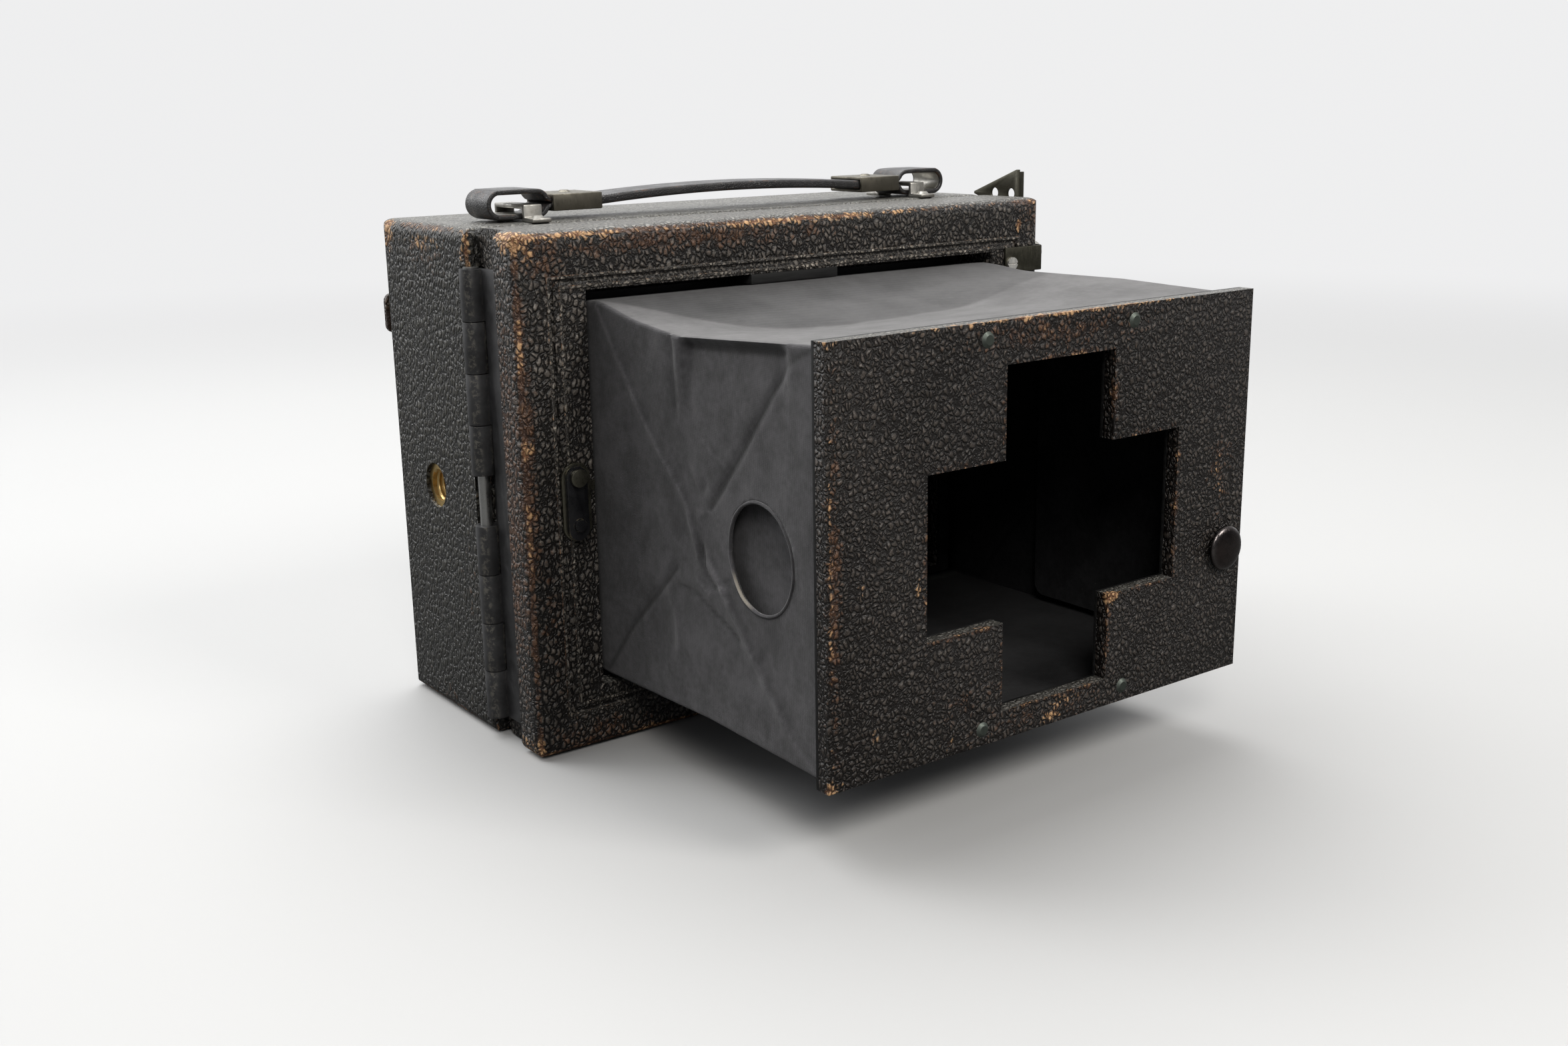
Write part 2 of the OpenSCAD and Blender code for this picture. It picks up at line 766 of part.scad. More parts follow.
// The dark tab at the top of the recess.
module hood_top_clip() {
    color([0.06, 0.06, 0.06])
    block([-tab_left, door_face - 0.3, recess_z + recess_h - board_play_z + 0.25],
        [tab_right, door_face + tab_d, recess_top]);
}

catch_x = -recess_w / 2 - catch_off;
catch_front = door_face - catch_t;
arm_x = catch_x - 0.4;
arm_z = catch_z + catch_h / 2 - 3.2;
arm_back = catch_front - 0.2;
arm_front = arm_back - arm_t;

module catch_base() {
    color([0.66, 0.52, 0.27])
    union() {
        plate_y(catch_w, catch_h, catch_w / 2 - 0.01, catch_x, catch_z, catch_front, door_face);
        block([catch_x + catch_w / 2 - 0.6, catch_front, catch_z + 2.2],
            [catch_x + catch_w / 2 + 1.2, door_face, catch_z + 4.6]);
        bar_y(arm_stud_r, arm_x, arm_z, arm_front - 0.3, catch_front);
        bar_y(arm_stud_r + 1, arm_x, arm_z, arm_front - 1.3, arm_front - 0.2);
    }
}

// The arm swings about a stud on the base plate and reaches over the folded board.
module catch_arm() {
    color([0.05, 0.05, 0.05])
    difference() {
        union() {
            for (z = [arm_z, arm_z - arm_len])
                bar_y(arm_w / 2, arm_x, z, arm_front, arm_back);
            block([arm_x - arm_w / 2, arm_front, arm_z - arm_len],
                [arm_x + arm_w / 2, arm_back, arm_z]);
            bar_y(1.5, arm_x, arm_z - arm_len + 1, arm_front - 0.9, arm_front);
        }
        bar_y(arm_stud_r + fit, arm_x, arm_z, arm_front - cut, catch_front + cut);
    }
}

// The bolt at rest stands back from the joint by 0.3, and its button from the plate by side_gap.
bolt_front = door_back - 0.3;
bolt_back = bolt_front - bolt_len;
knob_y = door_face + bolt_knob_y;
side_gap = 0.2;
side_x = half_w + latch_t + side_gap;

// The slot that the neck of the bolt's button slides in, through x0 to x1.
module neck_slot(x0, x1) {
    half = neck_r + bolt_play;
    block([x0, knob_y - half, latch_z - half], [x1, knob_y + half + bolt_travel, latch_z + half]);
}

// The latch plate lies on the face and on the side of the back, bent round its edge.
module latch_plate() {
    color([0.25, 0.24, 0.19])
    difference() {
        union() {
            block([half_w + latch_t - latch_front, door_face - latch_t, latch_z - latch_h / 2],
                [half_w, door_face, latch_z + latch_h / 2]);
            block([half_w, door_face - latch_t, latch_z - latch_h / 2],
                [half_w + latch_t, door_face + latch_side, latch_z + latch_h / 2]);
        }
        neck_slot(half_w - cut, half_w + latch_t + cut);
        bar_y(1, latch_screw_x, latch_screw_z, door_face - latch_t - cut, door_face + cut);
    }
}

latch_screw_x = half_w - latch_front + 3;
latch_screw_z = latch_z - latch_h / 2 + 2.4;

module latch_screw() {
    color([0.62, 0.6, 0.56])
    difference() {
        union() {
            bar_y(1, latch_screw_x, latch_screw_z, door_face - latch_t, door_face);
            bar_y(1.7, latch_screw_x, latch_screw_z, door_face - latch_t - 0.7, door_face - latch_t);
        }
        block([latch_screw_x - 2, door_face - latch_t - 1, latch_screw_z - 0.2],
            [latch_screw_x + 2, door_face - latch_t - 0.4, latch_screw_z + 0.2]);
    }
}

// The bolt with its button on the side of the back.
module latch_bolt() {
    color([0.5, 0.49, 0.46])
    union() {
        block([bolt_x - bolt_w / 2, bolt_back, latch_z - bolt_h / 2],
            [bolt_x + bolt_w / 2, bolt_front, latch_z + bolt_h / 2]);
        bar_x(neck_r, knob_y, latch_z, bolt_x, side_x + 0.3);
        bar_x(bolt_knob_r, knob_y, latch_z, side_x, side_x + 1.3);
        translate([side_x + 1.3, knob_y, latch_z])
            rotate([0, 90, 0])
                cylinder(r1 = bolt_knob_r, r2 = bolt_knob_r - 1, h = 0.6);
    }
}

sight_near = door_face + sight_y;
sight_far = sight_near + sight_hinge_len;
sight_barrel_r = sight_pin_r + fit + 0.4;
sight_x = half_w + sight_base_t + sight_barrel_r + 0.1;
sight_z = body_h - sight_drop;
ear_t = 0.8;
ear_gap = 0.1;
ear_r = 0.9;
// Height above the hinge from which the leaf's tip clears the corner of the ear as it folds.
tip_clear = ear_r * sqrt(2) + 0.3;

// The base plate on the side of the back, with two ears that hold the sight's hinge wire.
module sight_base() {
    y0 = sight_near - ear_gap - ear_t;
    y1 = sight_far + ear_gap + ear_t;
    color([0.3, 0.3, 0.27])
    union() {
        block([half_w, y0, sight_z + ear_r - sight_base_h],
            [half_w + sight_base_t, y1, sight_z + ear_r]);
        for (y = [y0, y1 - ear_t])
            block([half_w, y, sight_z - ear_r], [sight_x + ear_r, y + ear_t, sight_z + ear_r]);
        bar_y(sight_pin_r, sight_x, sight_z, y0, y1);
    }
}

// The leaf stands on its hinge wire and folds outwards and down beside the back.
module sight_leaf() {
    inner_x = sight_x - sight_t / 2;
    color([0.3, 0.31, 0.28])
    difference() {
        union() {
            translate([inner_x, sight_near, sight_z])
                rotate([90, 0, 90])
                    linear_extrude(sight_t)
                        polygon([[0, 0], [sight_hinge_len, 0], [sight_hinge_len, tip_clear],
                            [sight_len, sight_tip - 0.6], [sight_len, sight_tip],
                            [sight_t, sight_h], [0, sight_h]]);
            block([inner_x, sight_near, sight_z + sight_barrel_r + 0.6],
                [inner_x + sight_t + sight_flange, sight_near + sight_t, sight_z + sight_h - 0.6]);
            bar_y(sight_barrel_r, sight_x, sight_z, sight_near, sight_far);
        }
        bar_y(sight_pin_r + fit, sight_x, sight_z, sight_near - cut, sight_far + cut);
        for (y = [peep_near, peep_near + peep_step])
            bar_x(peep_r, sight_near + y, sight_z + peep_up, inner_x - cut, inner_x + sight_t + cut);
    }
}

// The cross-shaped opening, cut from y0 to y1.
module cross_cut(y0, y1) {
    z = board_low + board_h / 2 + cross_z;
    block([cross_x - cross_arm / 2, y0, z - cross_h / 2], [cross_x + cross_arm / 2, y1, z + cross_h / 2]);
    block([cross_x - cross_w / 2, y0, z - cross_bar / 2], [cross_x + cross_w / 2, y1, z + cross_bar / 2]);
}

knob_x = board_w / 2 - knob_in;
pocket_in = tongue_t + 0.4;
tongue_gap = 0.2;
knob_lift = 0.4;
shaft_in = board_t - pocket_in + tongue_gap;

module hood_board() {
    color([0.19, 0.17, 0.15])
    difference() {
        block([-board_w / 2, board_face, board_low], [board_w / 2, board_back, board_top]);
        cross_cut(board_face - cut, board_back + cut);
        bar_y(knob_shaft_r + fit, knob_x, knob_z, board_face - cut, board_back + cut);
        bar_y(tongue_len + 0.4, knob_x, knob_z, board_back - pocket_in, board_back + cut);
        rivet_holes(board_face - cut, board_back + cut);
    }
}

module board_backing() {
    color([0.06, 0.06, 0.06])
    difference() {
        block([-board_w / 2, board_back, board_low], [board_w / 2, backing_back, board_top]);
        cross_cut(board_back - cut, backing_back + cut);
        rivet_holes(board_back - cut, backing_back + cut);
    }
}

// The four rivets' shanks, or the holes for them.
module rivet_holes(y0, y1) {
    for (x = [-1, 1], z = [board_low + rivet_in, board_top - rivet_in])
        bar_y(shank_r, cross_x + x * rivet_x, z, y0, y1);
}

module board_rivets() {
    color([0.25, 0.33, 0.28])
    for (x = [-1, 1], z = [board_low + rivet_in, board_top - rivet_in]) {
        bar_y(shank_r, cross_x + x * rivet_x, z, board_face, backing_back);
        translate([cross_x + x * rivet_x, board_face, z])
            rotate([90, 0, 0])
                cylinder(r1 = rivet_r, r2 = rivet_r * 0.6, h = rivet_h);
    }
}

flap_x = board_w / 2 - flap_in;
flap_y = backing_back + flap_barrel_r + 0.3;
flap_low = board_low + flap_in_z;
flap_top = board_top - flap_in_z;

// Four lugs on the backing with the studs that the flaps turn on.
module flap_brackets() {
    color([0.1, 0.1, 0.1])
    for (x = [-1, 1]) {
        lug(x * flap_x, flap_low - 1.3, flap_low - 0.3, flap_low + 4);
        lug(x * flap_x, flap_top + 0.3, flap_top + 1.3, flap_top - 4);
    }
}

// One lug between heights z0 and z1, with its stud reaching to stud_end.
module lug(x, z0, z1, stud_end) {
    block([x - 1.6, backing_back, z0], [x + 1.6, flap_y + 1.4, z1]);
    bar_z(stud_r, x, flap_y, min(z0, stud_end), max(z1, stud_end));
}

// One stiff flap on its hinge barrel, on the side given by s.
module flap(s) {
    difference() {
        union() {
            bar_z(flap_barrel_r, s * flap_x, flap_y, flap_low, flap_top);
            block([s * flap_x - flap_t / 2, flap_y, flap_low],
                [s * flap_x + flap_t / 2, flap_y + flap_len, flap_top]);
        }
        bar_z(stud_r + fit, s * flap_x, flap_y, flap_low - cut, flap_top + cut);
    }
}

module left_flap() {
    color([0.13, 0.13, 0.14])
    flap(-1);
}

module right_flap() {
    color([0.13, 0.13, 0.14])
    flap(1);
}

module board_knob() {
    color([0.42, 0.42, 0.42])
    translate([knob_x, board_face, knob_z])
        rotate([90, 0, 0])
            rotate_extrude()
                polygon([[0, -shaft_in], [knob_shaft_r, -shaft_in], [knob_shaft_r, knob_lift],
                    [knob_r - 0.5, knob_lift], [knob_r, knob_lift + 0.5], [knob_r, knob_h - 0.9],
                    [knob_r - 0.9, knob_h - 0.2], [knob_r - 2.4, knob_h], [0, knob_h]]);
}

// The tongue turns with the knob, in its pocket at the back of the board.
module knob_tongue() {
    y0 = board_back - pocket_in + tongue_gap;
    color([0.55, 0.5, 0.4])
    union() {
        bar_y(tongue_w / 2 + 0.6, knob_x, knob_z, y0, y0 + tongue_t);
        block([knob_x - tongue_w / 2, y0, knob_z - tongue_len + 0.6],
            [knob_x + tongue_w / 2, y0 + tongue_t, knob_z]);
    }
}

// Depth of the hood's creases at a share u of its depth and v of a side's length.
function fold(u, v) = 1 - max(abs(2 * u - 1), abs(2 * v - 1));
function cross_fold(u) = 1 - abs(2 * u - 1);

// Steps along the hood and along each side, for the shape of its creases.
hood_steps = 8;

// Share of the way from the back to the board at ring i: ring 0 lies at the clamp, ring 1 at
// the mouth of the recess.
function ring_y(i) = i == 0 ? clamp_front
    : door_face + (backing_back - door_face) * (i - 1) / hood_steps;
function ring_u(i) = i == 0 ? 0 : (i - 1) / hood_steps;

// Half the width and half the height of the cloth at its two ends.
cloth_w0 = recess_w / 2 - cloth_in;
cloth_w1 = board_w / 2 - cloth_step;
cloth_h0 = recess_h / 2 - cloth_in;
cloth_h1 = board_h / 2 - cloth_step;

// One point of the hood's skin: ring i, side s, step j, and a distance inside the outer skin.
function hood_point(i, s, j, inside) =
    let(u = ring_u(i), v = j / hood_steps)
    let(w = cloth_w0 + (cloth_w1 - cloth_w0) * u - inside)
    let(h = cloth_h0 + (cloth_h1 - cloth_h0) * u - inside)
    let(x = w - crease_side * fold(u, v))
    let(z = h - crease_top * cross_fold(u) * min(1, 4 * fold(0.5, v)))
    s == 0 ? [-x, ring_y(i), recess_mid - h + 2 * h * v]
    : s == 1 ? [-w + 2 * w * v, ring_y(i), recess_mid + z]
    : s == 2 ? [x, ring_y(i), recess_mid + h - 2 * h * v]
    : [w - 2 * w * v, ring_y(i), recess_mid - z];

// The cloth is one skin with thickness: outer rings first, then inner rings.
module hood_skin() {
    rings = hood_steps + 2;
    n = 4 * hood_steps;
    outer = [for (i = [0:rings - 1], s = [0:3], j = [0:hood_steps - 1]) hood_point(i, s, j, 0)];
    inner = [for (i = [0:rings - 1], s = [0:3], j = [0:hood_steps - 1]) hood_point(i, s, j, cloth_t)];
    m = rings * n;
    // A crease runs along the diagonal of each quarter of a side.
    walls = [for (i = [0:rings - 2], k = [0:n - 1])
        let(a = i * n + k, b = i * n + (k + 1) % n, c = a + n, d = b + n)
        let(first = (i - 1 < hood_steps / 2), low = (k % hood_steps < hood_steps / 2))
        each (first == low
            ? [[a, c, d], [a, d, b], [a + m, d + m, c + m], [a + m, b + m, d + m]]
            : [[a, c, b], [b, c, d], [a + m, b + m, c + m], [b + m, d + m, c + m]])];
    ends = [for (k = [0:n - 1])
        let(a = k, b = (k + 1) % n, c = (rings - 1) * n + k, d = (rings - 1) * n + (k + 1) % n)
        each [[a, b, b + m], [a, b + m, a + m], [c, d + m, d], [c, c + m, d + m]]];
    polyhedron(points = concat(outer, inner), faces = concat(walls, ends), convexity = 4);
}

module hood_cloth() {
    color([0.27, 0.26, 0.28])
    difference() {
        hood_skin();
        translate([-recess_w / 2 - cut, door_face - finger_y, finger_z])
            rotate([0, 90, 0])
                cylinder(r = finger_r, h = 10, $fn = 32);
    }
}

// Height of the strap's bow above its straight ends at a distance x from the middle.
function bow(x) = abs(x) > sleeve_in ? 0 : strap_bow * (1 - pow(x / sleeve_in, 2));
bow_steps = 12;

module handle_strap() {
    xs = [-strap_end, for (i = [0:bow_steps]) sleeve_in * (2 * i / bow_steps - 1), strap_end];
    top = [for (x = xs) [x, loop_mid + bow(x) + strap_t]];
    low = [for (i = [bow_steps + 2:-1:0]) [xs[i], loop_mid + bow(xs[i]) - strap_t]];
    color([0.12, 0.1, 0.09])
    translate([0, strap_y + strap_w / 2, 0])
        rotate([90, 0, 0])
            linear_extrude(strap_w)
                polygon(concat(top, low));
}

// The outline of a loop: a round end, and sides that close to half height h1 at the sleeve.
module loop_outline(h0, h1, taper_x0, taper_x1, inner_x) {
    translate([loop_x - loop_h / 2, 0])
        circle(r = h0);
    polygon([[loop_x - loop_h / 2, h0], [taper_x1, h0], [taper_x0, h1], [inner_x, h1],
        [inner_x, -h1], [taper_x0, -h1], [taper_x1, -h0], [loop_x - loop_h / 2, -h0]]);
}

// One end loop: the strap bent back on itself, its two layers ending in the sleeve.
module handle_loop(s) {
    h = loop_h / 2;
    translate([0, strap_y + strap_w / 2, loop_mid])
        rotate([90, 0, 0])
            linear_extrude(strap_w)
                scale([s, 1])
                    difference() {
                        loop_outline(h, strap_t, sleeve_out, sleeve_out + 2, strap_end);
                        loop_outline(h - strap_t, 0.05, sleeve_out + 1, sleeve_out + 2.4,
                            sleeve_out + 0.6);
                    }
}

module handle_loop_left() {
    color([0.13, 0.12, 0.12])
    handle_loop(-1);
}

module handle_loop_right() {
    color([0.13, 0.12, 0.12])
    handle_loop(1);
}

// The flat sleeves round the ends of the strap and the two layers of each loop, each with the
// head of its rivet.
module handle_sleeves() {
    rivet_z = loop_mid + strap_t + sleeve_t;
    color([0.32, 0.3, 0.27])
    for (s = [-1, 1])
        union() {
            translate([s * strap_end, strap_y, loop_mid])
                difference() {
                    cube([sleeve_len, strap_w + 2 * sleeve_t, 2 * strap_t + 2 * sleeve_t],
                        center = true);
                    cube([sleeve_len + 2 * cut, strap_w, 2 * strap_t], center = true);
                }
            translate([s * strap_end, strap_y, rivet_z])
                cylinder(r1 = rivet_r, r2 = rivet_r * 0.6, h = rivet_h);
        }
}

// Half the width inside a staple.
staple_half = strap_w / 2 + 0.5;

// A bridge across the lower layer of a loop, with a foot at each end.
module staple(s) {
    x0 = s * staple_x - staple_len / 2;
    top = loop_low + strap_t + handle_travel + 0.2;
    block([x0, strap_y - staple_half - metal_t, top],
        [x0 + staple_len, strap_y + staple_half + metal_t, top + metal_t]);
    for (side = [-1, 1]) {
        leg = strap_y + side * (staple_half + metal_t / 2);
        foot = strap_y + side * (staple_half + foot_len / 2);
        block([x0, leg - metal_t / 2, body_h], [x0 + staple_len, leg + metal_t / 2, top + metal_t]);
        block([x0, foot - foot_len / 2, body_h], [x0 + staple_len, foot + foot_len / 2, body_h + metal_t]);
    }
}

module staple_left() {
    color([0.6, 0.59, 0.56])
    staple(-1);
}

module staple_right() {
    color([0.6, 0.59, 0.56])
    staple(1);
}

module staple_screws() {
    color([0.55, 0.54, 0.5])
    for (s = [-1, 1], y = [-1, 1])
        translate([s * staple_x, strap_y + y * (staple_half + foot_len / 2 + 0.5), body_h + metal_t])
            cylinder(r1 = 1.6, r2 = 1.1, h = 0.6);
}

module front_board() {
    w = front_open_w - 2 * front_play;
    h = front_open_h - 2 * front_play;
    color([0.19, 0.17, 0.15])
    difference() {
        plate_y(w, h, 1.5, 0, mid_z, front_back, front_back + front_t);
        bar_y(rear_r + 2, 0, mid_z, front_back - cut, front_back + front_t + cut);
    }
}

module lens_flange() {
    color([0.66, 0.52, 0.27])
    difference() {
        union() {
            bar_y(flange_r, 0, mid_z, front_back + front_t, flange_front);
            bar_y(rear_r + 2, 0, mid_z, front_back, front_back + front_t);
        }
        bar_y(rear_r, 0, mid_z, front_back - cut, flange_front + cut);
    }
}

module lens_barrel() {
    color([0.62, 0.47, 0.22])
    difference() {
        union() {
            bar_y(rear_r, 0, mid_z, front_back - rear_len, flange_front);
            bar_y(barrel_out_r, 0, mid_z, flange_front, barrel_front);
            bar_y(barrel_out_r + 1.6, 0, mid_z, barrel_front - 3, barrel_front);
        }
        bar_y(barrel_in_r, 0, mid_z, front_back - rear_len - cut, barrel_front + cut);
    }
}

// Radius of the sphere that a glass's bulged face is part of, and the height of its bulge at a
// distance q from the middle.
bulge = 1.6;
bulge_r = (barrel_in_r * barrel_in_r + bulge * bulge) / (2 * bulge);
function bulge_at(q) = sqrt(bulge_r * bulge_r - q * q) - bulge_r + bulge;
bulge_steps = 8;

// A glass on its flat face, bulged upwards.
module bulged_glass() {
    arc = [for (i = [bulge_steps:-1:0])
        [barrel_in_r * i / bulge_steps, lens_t - bulge + bulge_at(barrel_in_r * i / bulge_steps)]];
    rotate_extrude()
        polygon(concat([[0, 0], [barrel_in_r, 0]], arc));
}

module front_glass() {
    color([0.7, 0.8, 0.82, 0.5])
    translate([0, barrel_front - 3 - lens_t, mid_z])
        rotate([-90, 0, 0])
            bulged_glass();
}

module rear_glass() {
    color([0.7, 0.8, 0.82, 0.5])
    translate([0, front_back - rear_len + 1 + lens_t, mid_z])
        rotate([90, 0, 0])
            bulged_glass();
}

module iris_plate() {
    color([0.08, 0.08, 0.08])
    difference() {
        bar_y(barrel_in_r, 0, mid_z, flange_front + 5, flange_front + 5.6);
        bar_y(iris_r, 0, mid_z, flange_front, flange_front + 8);
    }
}

// The aperture ring with its milled edge and pointer.
module aperture_ring() {
    teeth = 48;
    color([0.62, 0.47, 0.22])
    difference() {
        union() {
            bar_y(ring_r, 0, mid_z, ring_back, ring_back + ring_w);
            translate([-1.2, ring_back + ring_w / 2 - 1.2, mid_z + ring_r - 0.5])
                cube([2.4, 2.4, 2.2]);
        }
        bar_y(barrel_out_r + fit, 0, mid_z, ring_back - cut, ring_back + ring_w + cut);
        for (i = [0:teeth - 1])
            translate([0, 0, mid_z])
                rotate([0, i * 360 / teeth + 180 / teeth, 0])
                    translate([-0.3, ring_back + 1, ring_r - 0.5])
                        cube([0.6, ring_w - 2, 1]);
    }
}

// The folded bellows, a ring of leather between the panel and the front board.
module bellows() {
    color([0.1, 0.09, 0.09])
    difference() {
        block([-bellows_w / 2, panel_front, mid_z - bellows_h / 2],
            [bellows_w / 2, front_back, mid_z + bellows_h / 2]);
        block([-bellows_w / 2 + bellows_fold, panel_front - cut, mid_z - bellows_h / 2 + bellows_fold],
            [bellows_w / 2 - bellows_fold, front_back + cut, mid_z + bellows_h / 2 - bellows_fold]);
    }
}

// The panel with the picture opening that the bellows is glued to.
module shutter_panel() {
    color([0.12, 0.11, 0.1])
    difference() {
        block([-inner_w / 2, panel_front - panel_t, wall], [inner_w / 2, panel_front, body_h - wall]);
        block([-bellows_w / 2 + bellows_fold, panel_front - panel_t - cut,
            mid_z - bellows_h / 2 + bellows_fold],
            [bellows_w / 2 - bellows_fold, panel_front + cut, mid_z + bellows_h / 2 - bellows_fold]);
    }
}

// Height of a strut's middle above the centre: level 0 is the inner pair, level 1 the outer.
function strut_level(n) = strut_z + strut_t / 2 + n * (strut_t + strut_gap);

// One strut folded flat, from its pivot at side s towards the other side.
module strut(s, z) {
    x0 = s * pivot_x;
    x1 = s * (pivot_x - strut_len);
    difference() {
        union() {
            bar_z(strut_w / 2, x0, pivot_y, z - strut_t / 2, z + strut_t / 2);
            bar_z(strut_w / 2, x1, pivot_y, z - strut_t / 2, z + strut_t / 2);
            block([min(x0, x1), pivot_y - strut_w / 2 + 0.8, z - strut_t / 2],
                [max(x0, x1), pivot_y + strut_w / 2 - 0.8, z + strut_t / 2]);
        }
        bar_z(spindle_r, x0, pivot_y, z - strut_t, z + strut_t);
        bar_z(1.2, x1, pivot_y, z - strut_t, z + strut_t);
    }
}

module left_struts() {
    color([0.6, 0.58, 0.52])
    for (k = [-1, 1])
        strut(-1, mid_z + k * strut_level(0));
}

module right_struts() {
    color([0.6, 0.58, 0.52])
    for (k = [-1, 1])
        strut(1, mid_z + k * strut_level(1));
}

// The spindle that joins the two struts of one side.
module spindle(s) {
    bar_z(spindle_r, s * pivot_x, pivot_y, mid_z - spindle_z - bracket_t, mid_z + spindle_z + bracket_t);
}

module strut_spindles_left() {
    color([0.6, 0.58, 0.52])
    spindle(-1);
}

module strut_spindles_right() {
    color([0.6, 0.58, 0.52])
    spindle(1);
}

// Four brackets on the side walls that hold the ends of the spindles.
module strut_brackets() {
    color([0.55, 0.5, 0.4])
    for (s = [-1, 1], k = [-1, 1])
        difference() {
            block([min(s * (pivot_x - 4), s * inner_w / 2), panel_front,
                mid_z + k * (spindle_z + bracket_t / 2) - bracket_t / 2],
                [max(s * (pivot_x - 4), s * inner_w / 2), pivot_y + 3.5,
                mid_z + k * (spindle_z + bracket_t / 2) + bracket_t / 2]);
            bar_z(spindle_r + fit, s * pivot_x, pivot_y, 0, body_h);
        }
}

// A roller with its shaft to the right wall and a knob outside it.
module roller(z, knob_r, knob_h, flutes) {
    knob_x0 = half_w + 1.2;
    difference() {
        union() {
            bar_x(roller_r, shaft_y, z, -roller_x, roller_x);
            bar_x(shaft_r, shaft_y, z, -inner_w / 2 + 0.3, knob_x0 + knob_h - 1);
            bar_x(knob_r, shaft_y, z, knob_x0, knob_x0 + knob_h);
        }
        for (i = [0:flutes - 1])
            translate([knob_x0 + 1.4, shaft_y, z])
                rotate([i * 360 / flutes, 0, 0])
                    translate([0, knob_r, 0])
                        rotate([0, 90, 0])
                            cylinder(r = 0.6, h = knob_h);
    }
}

roller_x = front_open_w / 2 - 4;

module winding_knob() {
    color([0.45, 0.44, 0.42])
    roller(mid_z + roller_z, wind_r, wind_h, 24);
}

module tension_knob() {
    color([0.45, 0.44, 0.42])
    roller(mid_z - roller_z, tension_r, tension_h, 20);
}

// The bushes that the shafts run in: two through the right wall, two on the left wall.
module wall_bushes() {
    color([0.7, 0.56, 0.3])
    for (z = [-1, 1])
        difference() {
            union() {
                bar_x(wall_bush_r, shaft_y, mid_z + z * roller_z, inner_w / 2, half_w);
                bar_x(wall_bush_r, shaft_y, mid_z + z * roller_z, -inner_w / 2, -inner_w / 2 + 3);
            }
            bar_x(shaft_r + fit, shaft_y, mid_z + z * roller_z, -inner_w / 2 - cut, half_w + cut);
        }
}

// The cloth blind behind the rollers with its exposure slit near the top.
module shutter_blind() {
    slit_z = mid_z + roller_z - 16;
    color([0.07, 0.07, 0.07])
    difference() {
        block([-roller_x, blind_y - blind_t, mid_z - roller_z], [roller_x, blind_y, mid_z + roller_z]);
        block([-plate_w / 2, blind_y - blind_t - cut, slit_z - slit_h / 2],
            [plate_w / 2, blind_y + cut, slit_z + slit_h / 2]);
    }
}

plate_frame_back = box_back + plate_frame_y;

module plate_frame() {
    color([0.12, 0.12, 0.12])
    difference() {
        block([-inner_w / 2, plate_frame_back, wall],
            [inner_w / 2, plate_frame_back + plate_frame_t, body_h - wall]);
        block([-plate_w / 2, plate_frame_back - cut, mid_z - plate_h / 2],
            [plate_w / 2, plate_frame_back + plate_frame_t + cut, mid_z + plate_h / 2]);
    }
}

// The two rails that a plate holder slides between.
module plate_rails() {
    color([0.6, 0.5, 0.3])
    for (k = [-1, 1])
        block([-plate_w / 2 - 2, plate_frame_back - rail_w, mid_z + k * (plate_h / 2 + 4) - 1],
            [plate_w / 2 + 2, plate_frame_back, mid_z + k * (plate_h / 2 + 4) + 1]);
}

module release_button() {
    x0 = half_w + button_travel + 0.4;
    color([0.5, 0.49, 0.46])
    union() {
        bar_x(stem_r, 0, button_z, inner_w / 2, x0);
        bar_x(button_r, 0, button_z, x0, x0 + button_t);
    }
}

// The leather-covered catch of the front board, at the left of the front.
module front_catch() {
    y0 = box_front + catch_travel + 0.3;
    color([0.2, 0.17, 0.14])
    union() {
        bar_y(stem_r, front_catch_x, front_catch_z, box_front - rim_t, y0);
        plate_y(front_catch_w, front_catch_h, 2, front_catch_x, front_catch_z, y0, y0 + 1.4);
    }
}

body_box();
front_trim();
side_tripod_bush();
base_tripod_bush();
box_hinge_leaf();
hinge_pin();
staple_left();
staple_right();
staple_screws();
latch_keeper();
plate_frame();
plate_rails();
shutter_panel();
shutter_blind();
wall_bushes();
strut_brackets();
door_case();
door_hinge_leaf();
ground_glass();
glass_frame();
glass_screws();
hood_clamp();
hood_top_clip();
catch_base();
catch_arm();
latch_plate();
latch_bolt();
latch_screw();
sight_base();
sight_leaf();
hood_board();
board_backing();
board_rivets();
flap_brackets();
hood_cloth();
left_flap();
right_flap();
board_knob();
knob_tongue();
handle_strap();
handle_loop_left();
handle_loop_right();
handle_sleeves();
front_board();
lens_flange();
lens_barrel();
front_glass();
rear_glass();
iris_plate();
aperture_ring();
bellows();
left_struts();
right_struts();
strut_spindles_left();
strut_spindles_right();
winding_knob();
tension_knob();
release_button();
front_catch();
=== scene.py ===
import bpy
import bmesh
import json
import math
from mathutils import Matrix, Vector, noise


